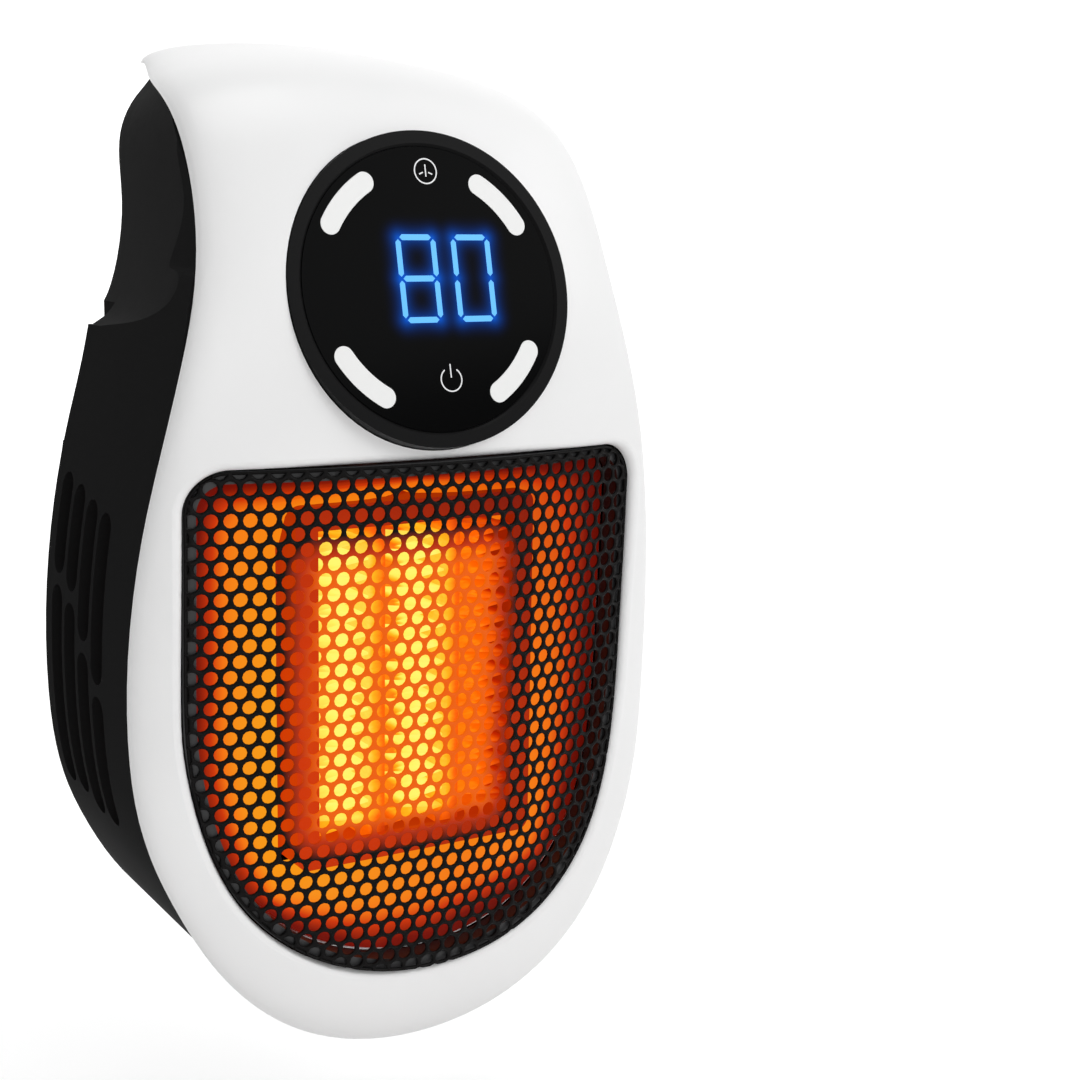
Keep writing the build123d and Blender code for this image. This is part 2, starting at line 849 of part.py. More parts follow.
level_span = digit_width - digit_stroke
upright_span = (digit_height - digit_stroke) / 2
segment_top = ledge_start + bar_clearance
with BuildPart() as digit_segments:
    with BuildSketch(disc_plane.offset(-segment_top)):
        for digit, levels in ((-1, (-1, 0, 1)), (1, (-1, 1))):
            middle = digit_shift + digit * digit_pitch / 2
            for level in levels:
                with Locations((middle, digit_rise + level * upright_span)):
                    Polygon(*segment_points(level_span - 2 * digit_notch, False), align=None)
            for side in both:
                for half in both:
                    upright_middle = digit_rise + half * upright_span / 2
                    with Locations((middle + side * level_span / 2, upright_middle)):
                        Polygon(*segment_points(upright_span - 2 * digit_notch, True), align=None)
    extrude(amount=-segment_thickness)
keep(digit_segments.part, "digit_segments")

with BuildPart() as digit_module:
    with BuildSketch(disc_plane.offset(-segment_top - segment_thickness)):
        with Locations((digit_shift, digit_rise)):
            Rectangle(digit_pitch + digit_width + 2 * module_margin, digit_height + 2 * module_margin)
    extrude(amount=segment_top + segment_thickness - board_depth)
keep(digit_module.part, "digit_module")

with BuildPart() as touch_pads:
    with BuildSketch(disc_plane.offset(-ledge_start - bar_clearance)):
        with Locations((0, pad_offset), (0, -pad_offset)):
            Circle(pad_radius)
    extrude(amount=ledge_start + bar_clearance - board_depth)
keep(touch_pads.part, "touch_pads")

with BuildPart() as display_board:
    with BuildSketch(disc_plane.offset(-board_depth)):
        Circle(lens_radius - bar_clearance)
    extrude(amount=-board_thickness)
keep(display_board.part, "display_board")

with BuildPart() as buzzer:
    with BuildSketch(disc_plane.offset(-board_depth - board_thickness)):
        with Locations((lens_radius / 2, lens_radius / 3)):
            Circle(buzzer_radius)
    extrude(amount=-buzzer_height)
    chamfer(buzzer.faces().sort_by(Axis.Y)[-1].edges(), length=part_edge)
keep(buzzer.part, "buzzer")

# Heater core: aluminium tubes and folded fins in a heat-proof frame
core_box = (core_width + 2 * core_gap, core_height + 2 * core_gap)
frame_box = (core_box[0] + 2 * frame_wall, core_box[1] + 2 * frame_wall)
core_y = core_front + frame_lip
frame_back = core_y + core_depth + frame_lip
core_window = (core_width - 2 * frame_lip_cover, core_height - 2 * frame_lip_cover)
with BuildPart() as heater_frame:
    with BuildSketch(Plane.XZ.offset(-frame_back)):
        with Locations((0, fan_centre)):
            RectangleRounded(*frame_box, frame_corner)
    extrude(amount=frame_back - core_front)
    with BuildSketch(Plane.XZ.offset(-core_y - core_depth)):
        with Locations((0, fan_centre)):
            Rectangle(*core_box)
    extrude(amount=core_depth, mode=Mode.SUBTRACT)
    with BuildSketch(Plane.XZ.offset(-frame_back)):
        with Locations((0, fan_centre)):
            Rectangle(*core_window)
    extrude(amount=frame_back - core_front, mode=Mode.SUBTRACT)
keep(heater_frame.part, "heater_frame")

fin_width = (core_width - core_tubes * core_tube) / (core_tubes + 1)
tube_places = [(-core_width / 2 + (index + 1) * (fin_width + core_tube) - core_tube / 2, fan_centre)
               for index in range(core_tubes)]
fin_places = [-core_width / 2 + index * (fin_width + core_tube) + fin_width / 2
              for index in range(core_tubes + 1)]
with BuildPart() as heater_tubes:
    with BuildSketch(Plane.XZ.offset(-core_y - core_depth)):
        with Locations(*tube_places):
            RectangleRounded(core_tube, core_height, core_tube / 4)
    extrude(amount=core_depth)
keep(heater_tubes.part, "heater_tubes")

fin_folds = int((core_height - fin_pitch) / fin_pitch * 2)
fin_half = fin_width / 2 - core_gap
with BuildPart() as heater_fins:
    for middle in fin_places:
        with BuildSketch(Plane.XZ.offset(-core_y - core_depth + core_gap)):
            for fold in range(fin_folds):
                z = fan_centre + (fold - fin_folds / 2) * fin_pitch / 2
                start = middle + (fin_half if fold % 2 else -fin_half)
                end = 2 * middle - start
                Polygon((start, z), (end, z + fin_pitch / 2), (end, z + fin_pitch / 2 + fin_sheet),
                        (start, z + fin_sheet), align=None)
        extrude(amount=core_depth - 2 * core_gap)
keep(heater_fins.part, "heater_fins")

frame_top = fan_centre + frame_box[1] / 2
with BuildPart() as heater_electrodes:
    for side in both:
        with BuildSketch(Plane.XY.offset(frame_top)):
            with Locations((side * electrode_spread / 2, frame_back - electrode_sheet)):
                Rectangle(electrode_width, electrode_sheet)
        extrude(amount=electrode_height)
keep(heater_electrodes.part, "heater_electrodes")

cutout_y = core_front + duct_lap + cutout_depth / 2 + part_edge
with BuildPart() as thermal_cutout:
    with BuildSketch(Plane.XY.offset(frame_top)):
        with Locations((0, cutout_y)):
            Rectangle(cutout_width, cutout_depth)
    extrude(amount=cutout_height / 2)
    with BuildSketch(Plane.XY.offset(frame_top + cutout_height / 2)):
        with Locations((0, cutout_y)):
            Circle(cutout_depth / 2)
    extrude(amount=cutout_height / 2)
keep(thermal_cutout.part, "thermal_cutout")

frame_side = frame_box[0] / 2
fuse_y = frame_back - fuse_radius
with BuildPart() as thermal_fuse:
    with BuildSketch(Plane.XY.offset(fan_centre + frame_box[1] / 2 - fuse_length * 1.5)):
        with Locations((frame_side + bracket_sheet + 2 * core_gap + fuse_radius, fuse_y)):
            Circle(fuse_radius)
    extrude(amount=fuse_length)
keep(thermal_fuse.part, "thermal_fuse")

duct_y = core_front + duct_setback
duct_back_box = [size + 2 * (core_gap + duct_sheet) for size in frame_box]
with BuildPart() as air_duct:
    with BuildSketch(Plane.XZ.offset(-core_front - duct_lap)):
        with Locations((0, fan_centre)):
            RectangleRounded(*duct_back_box, frame_corner + core_gap + duct_sheet)
    with BuildSketch(Plane.XZ.offset(-duct_y)):
        with Locations((0, fan_centre)):
            RectangleRounded(duct_width, duct_height, duct_corner)
    loft()
    inner = [size - 2 * duct_sheet for size in duct_back_box]
    with BuildSketch(Plane.XZ.offset(-core_front - duct_lap)):
        with Locations((0, fan_centre)):
            RectangleRounded(*inner, frame_corner + core_gap)
    with BuildSketch(Plane.XZ.offset(-duct_y)):
        with Locations((0, fan_centre)):
            RectangleRounded(duct_width - 2 * duct_sheet, duct_height - 2 * duct_sheet,
                             duct_corner - duct_sheet)
    loft(mode=Mode.SUBTRACT)
keep(air_duct.part, "air_duct")

bracket_foot = fan_post_half_spread + bracket_margin - frame_side - core_gap
with BuildPart() as heater_brackets:
    for side in both:
        near = frame_side + core_gap
        with BuildSketch(Plane.XZ.offset(-fan_y + bracket_sheet)):
            with Locations((side * (near + bracket_sheet / 2), fan_centre)):
                Rectangle(bracket_sheet, bracket_height)
        extrude(amount=fan_y - bracket_sheet - frame_back + bracket_lap)
        with BuildSketch(Plane.XZ.offset(-fan_y)):
            foot_x = side * (near + bracket_foot / 2)
            foot_z = (fan_size - bracket_foot_height) / 2
            with Locations((foot_x, fan_centre + foot_z), (foot_x, fan_centre - foot_z)):
                Rectangle(bracket_foot, bracket_foot_height)
        extrude(amount=bracket_sheet)
    with BuildSketch(Plane.XZ.offset(-fan_y)):
        with Locations(*fan_posts):
            Circle(screw_radius + screw_play)
    extrude(amount=bracket_sheet, mode=Mode.SUBTRACT)
keep(heater_brackets.part, "heater_brackets")

# Fan
with BuildPart() as fan_frame:
    with BuildSketch(Plane.XZ.offset(-fan_back)):
        with Locations((0, fan_centre)):
            RectangleRounded(fan_size, fan_size, fan_corner)
            Circle(fan_bore, mode=Mode.SUBTRACT)
        with Locations(*fan_posts):
            Circle(screw_radius + screw_play, mode=Mode.SUBTRACT)
    extrude(amount=fan_depth)
    with BuildSketch(Plane.XZ.offset(-fan_back)):
        with Locations((0, fan_centre)):
            Circle(fan_seat_radius)
            with PolarLocations((fan_bore + fan_seat_radius) / 2, strut_count, start_angle=quarter_turn):
                Rectangle(fan_bore - fan_seat_radius + 2 * strut_lap, strut_width)
            Circle(shaft_radius + shaft_play, mode=Mode.SUBTRACT)
    extrude(amount=fan_seat_depth)
keep(fan_frame.part, "fan_frame")

seat_y = fan_back - fan_seat_depth
with BuildPart() as fan_motor:
    with BuildSketch(Plane.XZ.offset(-seat_y)):
        with Locations((0, fan_centre)):
            Circle(stator_radius)
            Circle(shaft_radius + shaft_play, mode=Mode.SUBTRACT)
    extrude(amount=stator_height)
keep(fan_motor.part, "fan_motor")

hub_front = fan_y + impeller_lead
hub_back = seat_y - impeller_rear_gap
with BuildPart() as vane:
    for radius, pitch in ((impeller_hub - vane_root_lap, vane_root_pitch), (impeller_tip, vane_tip_pitch)):
        across = Plane((radius, (hub_front + hub_back) / 2, 0), x_dir=(0, sin(radians(pitch)),
                       cos(radians(pitch))), z_dir=(1, 0, 0))
        with BuildSketch(across):
            Rectangle(vane_chord, vane_thickness)
    loft()
with BuildPart() as fan_impeller:
    with BuildSketch(Plane.XZ.offset(-hub_back)):
        Circle(impeller_hub)
    extrude(amount=hub_back - hub_front)
    with BuildSketch(Plane.XZ.offset(-hub_back)):
        Circle(impeller_hub - impeller_wall)
    extrude(amount=hub_back - hub_front - impeller_wall, mode=Mode.SUBTRACT)
    for turn in range(vane_count):
        add(vane.part.rotate(Axis.Y, turn * 2 * half_turn / vane_count))
fan_rotor = fan_impeller.part.moved(Location((0, 0, fan_centre)))
keep(fan_rotor, "fan_impeller")

with BuildPart() as fan_shaft:
    with BuildSketch(Plane.XZ.offset(-fan_back)):
        with Locations((0, fan_centre)):
            Circle(shaft_radius)
    extrude(amount=fan_back - hub_front - impeller_wall)
keep(fan_shaft.part, "fan_shaft")

fan_screw = screw(screw_radius, fan_screw_length, screw_head_radius, screw_head_height)
keep(screws(fan_posts, fan_y - bracket_sheet, fan_screw, half_turn), "fan_screws")

# Main board
with BuildPart() as main_board:
    with BuildSketch(Plane.XZ.offset(-board_y)):
        with Locations((0, main_board_top - main_board_height / 2)):
            Rectangle(main_board_width, main_board_height)
        with Locations(*board_posts):
            Circle(small_screw_radius + screw_play, mode=Mode.SUBTRACT)
    extrude(amount=board_thickness)
keep(main_board.part, "main_board")

small_screw = screw(small_screw_radius, small_screw_length, small_head_radius, small_head_height)
keep(screws(board_posts, board_y - board_thickness, small_screw, half_turn), "board_screws")


def board_place(share):
    """A place on the main board in the front view."""
    return (share[0] * main_board_width, main_board_top + share[1] * main_board_height)


def board_box(size, share, front):
    """A boxy component on the board's rear face, or on its front face."""
    start = board_y - board_thickness if front else board_y
    with BuildPart() as piece:
        with BuildSketch(Plane.XZ.offset(-start)):
            with Locations(board_place(share)):
                Rectangle(size[0], size[2])
        extrude(amount=size[1] if front else -size[1])
        chamfer(piece.edges().filter_by(Axis.Y), length=part_edge / 2)
    return piece.part


keep(board_box(relay_size, relay_place_share, False), "relay")
keep(board_box(film_size, film_place_share, False), "film_capacitor")
keep(board_box(choke_size, choke_place_share, False), "transformer")
keep(board_box(block_size, block_place_share, False), "terminal_block")
keep(board_box(chip_size, chip_place_share, True), "control_chip")
keep(board_box(header_size, header_place_share, True), "cable_header")

with BuildPart() as can_capacitors:
    for share in can_place_shares:
        with BuildSketch(Plane.XZ.offset(-board_y)):
            with Locations(board_place(share)):
                Circle(can_radius)
        extrude(amount=-can_height)
    fillet(can_capacitors.faces().filter_by(Axis.Y).group_by(Axis.Y)[-1].edges(), radius=part_edge)
keep(can_capacitors.part, "can_capacitors")

fuse_x, fuse_z = board_place(board_fuse_place_share)
with BuildPart() as board_fuse:
    with BuildSketch(Plane.YZ.offset(fuse_x - board_fuse_length / 2)):
        with Locations((board_y + board_fuse_radius, fuse_z)):
            Circle(board_fuse_radius)
    extrude(amount=board_fuse_length)
keep(board_fuse.part, "board_fuse")

with BuildPart() as tilt_switch:
    with BuildSketch(Plane.XZ.offset(-board_y + board_thickness)):
        with Locations(board_place(tilt_place_share)):
            Circle(tilt_radius)
    extrude(amount=tilt_height)
    chamfer(tilt_switch.faces().sort_by(Axis.Y)[0].edges(), length=part_edge)
keep(tilt_switch.part, "tilt_switch")

# Rocker switch
with BuildPart() as switch_body:
    with BuildSketch(switch_plane):
        Circle(flange_radius)
    extrude(amount=flange_thickness)
    chamfer(switch_body.faces().sort_by(Axis(switch_plane.origin, switch_plane.z_dir))[-1].edges(),
            length=flange_thickness / 2)
    with BuildSketch(switch_plane):
        Circle(barrel_radius)
    extrude(amount=-barrel_length)
    with BuildSketch(switch_plane.offset(flange_thickness)):
        Circle(well_radius)
    extrude(amount=-well_depth, mode=Mode.SUBTRACT)
    pin_line = Plane(
        origin=switch_plane.origin + switch_plane.z_dir * (flange_thickness - rocker_pin_depth),
        x_dir=switch_plane.y_dir,
        z_dir=switch_plane.x_dir,
    )
    pin_reach = (well_radius + barrel_radius) / 2
    with BuildSketch(pin_line):
        Circle(rocker_pin_radius + rocker_pin_play)
    extrude(amount=pin_reach, both=True, mode=Mode.SUBTRACT)
keep(switch_body.part, "switch_body")

with BuildPart() as rocker_form:
    with BuildSketch(switch_plane.offset(flange_thickness + rocker_proud)):
        RectangleRounded(rocker_width, rocker_length, rocker_corner)
    extrude(amount=-rocker_thickness)
    fillet(rocker_form.faces().sort_by(Axis(switch_plane.origin, switch_plane.z_dir))[-1].edges(),
           radius=rocker_edge)
    with BuildSketch(pin_line):
        Circle(rocker_pin_radius)
    extrude(amount=pin_reach - rocker_pin_play, both=True)
rocker_axis = Axis(pin_line.origin, pin_line.z_dir)
rocker_button = rocker_form.part.rotate(rocker_axis, rocker_tilt)
keep(rocker_button, "rocker_button")
print("rocker axis", rocker_axis.position, rocker_axis.direction)

with BuildPart() as switch_terminals:
    with BuildSketch(switch_plane.offset(-barrel_length)):
        with Locations((0, terminal_pitch / 2), (0, -terminal_pitch / 2)):
            Rectangle(terminal_width, terminal_thickness)
    extrude(amount=-terminal_length)
keep(switch_terminals.part, "switch_terminals")

# Plug: a disc that turns on the rear plane, with two flat blades
blades = ((1, live_blade_height), (-1, neutral_blade_height))
blade_root = retainer_y - retainer_thickness - blade_tail


def blade_slots(start, end):
    """The slots that two blades pass through, between two depths."""
    with BuildPart() as form:
        with BuildSketch(Plane.XZ.offset(-start)):
            for side, height in blades:
                with Locations((side * blade_spread / 2, 0)):
                    Rectangle(blade_thickness + 2 * blade_clearance, height + 2 * blade_clearance)
        extrude(amount=start - end)
    return form.part


disc_slots = blade_slots(overrun, retainer_y - overrun)
retainer_screw_places = [(0, side * retainer_screw_spread / 2) for side in both]
with BuildPart() as plug_disc:
    with BuildSketch(Plane.XZ):
        Circle(plug_radius)
    extrude(amount=plug_thickness)
    fillet(plug_disc.faces().filter_by(Axis.Y).edges(), radius=plug_edge)
    with BuildSketch(Plane.XZ.offset(plug_thickness)):
        Circle(hub_radius)
    extrude(amount=-retainer_y - plug_thickness)
    add(disc_slots, mode=Mode.SUBTRACT)
    with BuildSketch(Plane.XZ.offset(-retainer_y)):
        with Locations(*retainer_screw_places):
            Circle(small_screw_radius + blade_clearance)
    extrude(amount=-small_screw_length, mode=Mode.SUBTRACT)
keep(plug_disc.part, "plug_disc")

for side, height in blades:
    tip, tip_half = blade_length, height / 2 - blade_bevel
    with BuildPart() as blade:
        with BuildSketch(Plane.YZ.offset(side * blade_spread / 2 - blade_thickness / 2)):
            with BuildLine():
                Polyline((blade_root, -height / 2), (tip - blade_tip, -height / 2), (tip, -tip_half),
                         (tip, tip_half), (tip - blade_tip, height / 2), (blade_root, height / 2),
                         close=True)
            make_face()
        extrude(amount=blade_thickness)
        chamfer(blade.faces().sort_by(Axis.Y)[-1].edges().filter_by(Axis.Z),
                length=blade_thickness / 4, length2=blade_thickness)
    keep(blade.part, "live_blade" if side == 1 else "neutral_blade")

with BuildPart() as plug_retainer:
    with BuildSketch(Plane.XZ.offset(-retainer_y)):
        Circle(retainer_radius)
        with Locations(*retainer_screw_places):
            Circle(small_screw_radius + screw_play, mode=Mode.SUBTRACT)
    extrude(amount=retainer_thickness)
    add(disc_slots, mode=Mode.SUBTRACT)
keep(plug_retainer.part, "plug_retainer")

ring_y = retainer_y - retainer_thickness
keep(screws(retainer_screw_places, ring_y, small_screw, half_turn), "retainer_screws")

with BuildPart() as contact_rings:
    for radius in ring_radii:
        with BuildSketch(Plane.XZ.offset(-ring_y)):
            Circle(radius + ring_width)
            Circle(radius, mode=Mode.SUBTRACT)
        extrude(amount=ring_thickness)
keep(contact_rings.part, "contact_rings")

with BuildPart() as contact_carrier:
    with BuildSketch(Plane.XZ.offset(-carrier_y)):
        Circle(carrier_radius)
        Rectangle(carrier_ear_width, carrier_post_spread + 2 * carrier_ear_reach)
        Circle(carrier_bore, mode=Mode.SUBTRACT)
        with Locations(*carrier_places):
            Circle(small_screw_radius + screw_play, mode=Mode.SUBTRACT)
    extrude(amount=carrier_thickness)
keep(contact_carrier.part, "contact_carrier")

short_length = small_screw_length - carrier_thickness
short_screw = screw(small_screw_radius, short_length, small_head_radius, small_head_height)
carrier_seat = carrier_y - carrier_thickness
keep(screws(carrier_places, carrier_seat, short_screw, half_turn), "carrier_screws")

brush_tip = ring_y - ring_thickness - brush_gap
brush_places = [(side * (radius + ring_width / 2), 0) for side, radius in zip(both, ring_radii)]
with BuildPart() as contact_brushes:
    with BuildSketch(Plane.XZ.offset(-brush_tip)):
        with Locations(*brush_places):
            Circle(brush_radius)
    extrude(amount=brush_tip - carrier_y)
keep(contact_brushes.part, "contact_brushes")
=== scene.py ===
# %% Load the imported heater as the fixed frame
from math import cos, pi, radians, sin, sqrt

import bpy
import numpy as np
from mathutils import Matrix, Vector


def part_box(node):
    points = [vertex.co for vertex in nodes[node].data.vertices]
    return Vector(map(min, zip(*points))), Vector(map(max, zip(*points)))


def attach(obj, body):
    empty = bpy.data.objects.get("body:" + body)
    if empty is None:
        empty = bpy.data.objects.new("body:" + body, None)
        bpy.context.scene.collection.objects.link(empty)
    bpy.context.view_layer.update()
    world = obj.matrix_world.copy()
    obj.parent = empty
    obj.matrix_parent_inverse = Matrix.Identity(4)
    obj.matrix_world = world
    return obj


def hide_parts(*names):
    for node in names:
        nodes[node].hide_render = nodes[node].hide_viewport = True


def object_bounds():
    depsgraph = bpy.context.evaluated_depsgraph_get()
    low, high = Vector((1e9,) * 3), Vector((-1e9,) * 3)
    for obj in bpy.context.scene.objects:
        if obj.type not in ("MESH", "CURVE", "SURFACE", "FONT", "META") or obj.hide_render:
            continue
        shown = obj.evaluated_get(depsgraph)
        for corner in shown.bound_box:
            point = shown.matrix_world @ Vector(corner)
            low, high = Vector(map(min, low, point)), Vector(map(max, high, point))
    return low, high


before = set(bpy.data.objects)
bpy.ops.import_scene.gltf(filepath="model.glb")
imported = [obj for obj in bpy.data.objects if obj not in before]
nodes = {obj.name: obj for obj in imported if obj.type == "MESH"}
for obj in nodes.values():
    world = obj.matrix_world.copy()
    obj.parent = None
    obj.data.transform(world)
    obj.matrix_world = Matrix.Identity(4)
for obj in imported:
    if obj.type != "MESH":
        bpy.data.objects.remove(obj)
cad_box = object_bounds()
print("solid pieces:", len(nodes), "box:", cad_box)

# %% [markdown]
# Every solid of the heater is already in the scene, in metres, in its real place. The lengths in
# this file are easier to read in millimetres, so one factor turns them into metres. The helpers
# below turn arrays of points into meshes, and make every new piece part of a moving body.

# %% Units and mesh helpers
MM = 0.001


def mesh_piece(name, points, faces, finish, body, smooth=True):
    """A mesh from an array of points in millimetres and a list of faces, riding on a body."""
    mesh = bpy.data.meshes.new(name)
    mesh.from_pydata((np.asarray(points, float) * MM).tolist(), [], [list(map(int, f)) for f in faces])
    mesh.validate()
    mesh.polygons.foreach_set("use_smooth", np.full(len(mesh.polygons), smooth))
    piece = bpy.data.objects.new(name, mesh)
    bpy.context.scene.collection.objects.link(piece)
    mesh.materials.append(finish)
    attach(piece, body)
    return piece


def grid_faces(rows, columns, closed=False):
    """Quads over a grid of points in row order. Where it is closed, each row runs round."""
    i, j = np.arange(rows - 1), np.arange(columns if closed else columns - 1)
    i, j = np.meshgrid(i, j, indexing="ij")
    up, along = i + 1, (j + 1) % columns
    quads = np.stack([i * columns + j, i * columns + along, up * columns + along, up * columns + j], -1)
    return quads.reshape(-1, 4)


def weld(points, faces, step=0.002):
    """Joins points that lie in one cell of a fine lattice, and drops what shrinks to a line."""
    keys = np.round(np.asarray(points) / step).astype(np.int64)
    _, first, inverse = np.unique(keys, axis=0, return_index=True, return_inverse=True)
    inverse = inverse.reshape(-1)
    joined = []
    for face in inverse[np.asarray(faces)]:
        ring = [a for a, b in zip(face, np.roll(face, 1)) if a != b]
        if len(set(ring)) == len(ring) and len(ring) > 2:
            joined.append(ring)
    return np.asarray(points)[first], joined


def dress(names, finish):
    """Gives solid pieces that keep their shape a finish."""
    for name in names:
        slots = nodes[name].data.materials
        slots.clear()
        slots.append(finish)


# %% [markdown]
# A finish is a network of shader nodes. Written as a formula it is far easier to read, so one class
# wraps a socket and turns plus, minus and times into Math nodes, and another builds the material.
# Whatever varies over a surface only feeds the colour, the roughness, the glow or the bump.

# %% Shader arithmetic
class Value:
    """One output of a shader node. Arithmetic on it adds Math nodes to its network."""

    def __init__(self, network, socket):
        self.network, self.socket = network, socket

    def math(self, operation, other=0.0, swap=False):
        pair = (other, self) if swap else (self, other)
        return self.network.node("ShaderNodeMath", {"operation": operation}, {0: pair[0], 1: pair[1]})

    def __add__(self, other):
        return self.math("ADD", other)

    __radd__ = __add__

    def __mul__(self, other):
        return self.math("MULTIPLY", other)

    __rmul__ = __mul__

    def __sub__(self, other):
        return self.math("SUBTRACT", other)

    def __rsub__(self, other):
        return self.math("SUBTRACT", other, swap=True)

    def __truediv__(self, other):
        return self.math("DIVIDE", other)

    def size(self):
        return self.math("ABSOLUTE")

    def least(self, other):
        return self.math("MINIMUM", other)

    def most(self, other):
        return self.math("MAXIMUM", other)

    def power(self, other):
        return self.math("POWER", other)

    def fade(self, low, high):
        """Rises smoothly from 0 at low to 1 at high."""
        return self.network.node("ShaderNodeMapRange", {"interpolation_type": "SMOOTHSTEP"},
                                 {"Value": self, "From Min": low, "From Max": high})


class Network:
    """A tree of shader nodes, of a material or of the world."""

    def __init__(self, tree):
        self.tree = tree

    def node(self, kind, settings=None, inputs=None, output=0):
        node = self.tree.nodes.new(kind)
        for key, value in (settings or {}).items():
            if key == "stops":
                for index, (place, colour) in enumerate(value):
                    spot = node.color_ramp.elements
                    stop = spot[index] if index < len(spot) else spot.new(place)
                    stop.position, stop.color = place, (*colour, 1.0)
            else:
                setattr(node, key, value)
        for key, value in (inputs or {}).items():
            if isinstance(value, Value):
                self.tree.links.new(value.socket, node.inputs[key])
            else:
                node.inputs[key].default_value = value
        return Value(self, node.outputs[output])

    def seen(self):
        """1 for what the camera sees directly, by reflection or through glass, and 0 for other light."""
        rays = [self.node("ShaderNodeLightPath", output=f"Is {ray} Ray")
                for ray in ("Camera", "Glossy", "Transmission")]
        return rays[0].most(rays[1]).most(rays[2])


class Finish(Network):
    """A material with one Principled shader and short ways to add nodes."""

    def __init__(self, name, colour, roughness, metallic=0.0, **settings):
        self.material = bpy.data.materials.new(name)
        self.material.use_nodes = True
        super().__init__(self.material.node_tree)
        self.shader = self.tree.nodes["Principled BSDF"]
        self.set("Base Color", (*colour, 1.0))
        self.set("Roughness", roughness)
        self.set("Metallic", metallic)
        for key, value in settings.items():
            self.set(key.replace("_", " ").title().replace("Ior", "IOR"), value)
        self.material.diffuse_color = (*colour, 1.0)

    def set(self, key, value):
        if isinstance(value, Value):
            self.tree.links.new(value.socket, self.shader.inputs[key])
        else:
            self.shader.inputs[key].default_value = value

    def place(self):
        """The point on the piece, in metres, as a vector and as X, Y and Z."""
        point = self.node("ShaderNodeTexCoord", output="Object")
        split = self.tree.nodes.new("ShaderNodeSeparateXYZ")
        self.tree.links.new(point.socket, split.inputs[0])
        return point, [Value(self, split.outputs[index]) for index in range(3)]

    def stretched(self, point, factors):
        return self.node("ShaderNodeMapping", None, {"Vector": point, "Scale": factors})

    def noise(self, point, scale, detail=3.0, rough=0.5):
        return self.node("ShaderNodeTexNoise", None,
                         {"Vector": point, "Scale": scale, "Detail": detail, "Roughness": rough})

    def ramp(self, factor, stops):
        return self.node("ShaderNodeValToRGB", {"stops": stops}, {"Fac": factor})

    def mix(self, factor, first, second):
        first = first if isinstance(first, Value) else (*first, 1.0)
        second = second if isinstance(second, Value) else (*second, 1.0)
        return self.node("ShaderNodeMix", {"data_type": "RGBA"},
                         {"Factor": factor, 6: first, 7: second}, output=2)

    def bump(self, height, strength, depth):
        normal = self.node("ShaderNodeBump", None,
                           {"Height": height, "Strength": strength, "Distance": depth})
        self.set("Normal", normal)


# %% [markdown]
# Moulded plastic is never quite even. The white cover is a satin moulding with a faint ripple, and
# the black housing has a fine spark-eroded grain that breaks up its reflections. Both come from
# noise on the point's own coordinates, so the pattern stays on the piece from every side.

# %% Moulded plastics
drift_scale, drift_low, drift_high = 40.0, 0.97, 1.05
grain_strength = 0.35


def moulded(name, colour, roughness, grain, depth, spread=0.05, shine=0.5):
    """Plastic with a fine grain, and a slow drift in colour and gloss over the moulding."""
    finish = Finish(name, colour, roughness, specular_ior_level=shine)
    point, _ = finish.place()
    drift = finish.noise(point, drift_scale, 2.0)
    shade = tuple(channel * drift_low for channel in colour)
    light = tuple(min(1.0, channel * drift_high) for channel in colour)
    finish.set("Base Color", finish.mix(drift, shade, light))
    finish.set("Roughness", drift * spread + (roughness - spread / 2))
    finish.bump(finish.noise(point, grain, 4.0, 0.6), grain_strength, depth)
    return finish.material


white_plastic = moulded("white_satin_plastic", (0.955, 0.955, 0.955), 0.36, 160.0, 0.00003)
black_plastic = moulded("black_grained_plastic", (0.014, 0.014, 0.0142), 0.40, 2600.0, 0.00002, 0.08,
                        0.0007)
black_gloss = moulded("black_gloss_plastic", (0.008, 0.008, 0.0083), 0.24, 300.0, 0.00001, 0.06, 0.12)
ring_plastic = moulded("dark_ring_plastic", (0.006, 0.006, 0.0062), 0.34, 1500.0, 0.00001, 0.06, 0.04)
inner_plastic = moulded("dark_inner_plastic", (0.020, 0.020, 0.021), 0.55, 900.0, 0.00003)
tan_plastic = moulded("tan_connector", (0.55, 0.44, 0.28), 0.5, 500.0, 0.00002)
blue_plastic = moulded("blue_relay_case", (0.03, 0.12, 0.42), 0.38, 400.0, 0.00001)
yellow_plastic = moulded("yellow_film_case", (0.62, 0.42, 0.04), 0.42, 400.0, 0.00002)
white_ceramic = moulded("white_fuse_ceramic", (0.72, 0.71, 0.66), 0.5, 900.0, 0.00002)
board_green = moulded("green_board_lacquer", (0.010, 0.11, 0.035), 0.3, 220.0, 0.00002, 0.1)

# %% [markdown]
# Bare metal shows the way it was worked. Stamped blades and drawn tubes have fine parallel
# scratches, so their noise is stretched fiftyfold along one axis, and the same lines vary the
# roughness, which is what draws a highlight out into a streak.

# %% Worked metals
scratch_scale, scratch_stretch, scratch_depth = 2500.0, 50.0, 0.01 * MM
stain_scale, stain_shade = 90.0, 0.8
scratch_spread, scratch_strength = 0.18, 0.3


def worked_metal(name, colour, roughness, along):
    """Metal with scratches that run along one axis."""
    finish = Finish(name, colour, roughness, 1.0)
    point, _ = finish.place()
    factors = [1.0, 1.0, 1.0]
    factors[along] = 1 / scratch_stretch
    lines = finish.noise(finish.stretched(point, factors), scratch_scale, 3.0, 0.6)
    stain = finish.noise(point, stain_scale, 2.0)
    dark = tuple(channel * stain_shade for channel in colour)
    finish.set("Base Color", finish.mix(stain, dark, colour))
    finish.set("Roughness", lines * scratch_spread + (roughness - scratch_spread / 2))
    finish.bump(lines, scratch_strength, scratch_depth)
    return finish.material


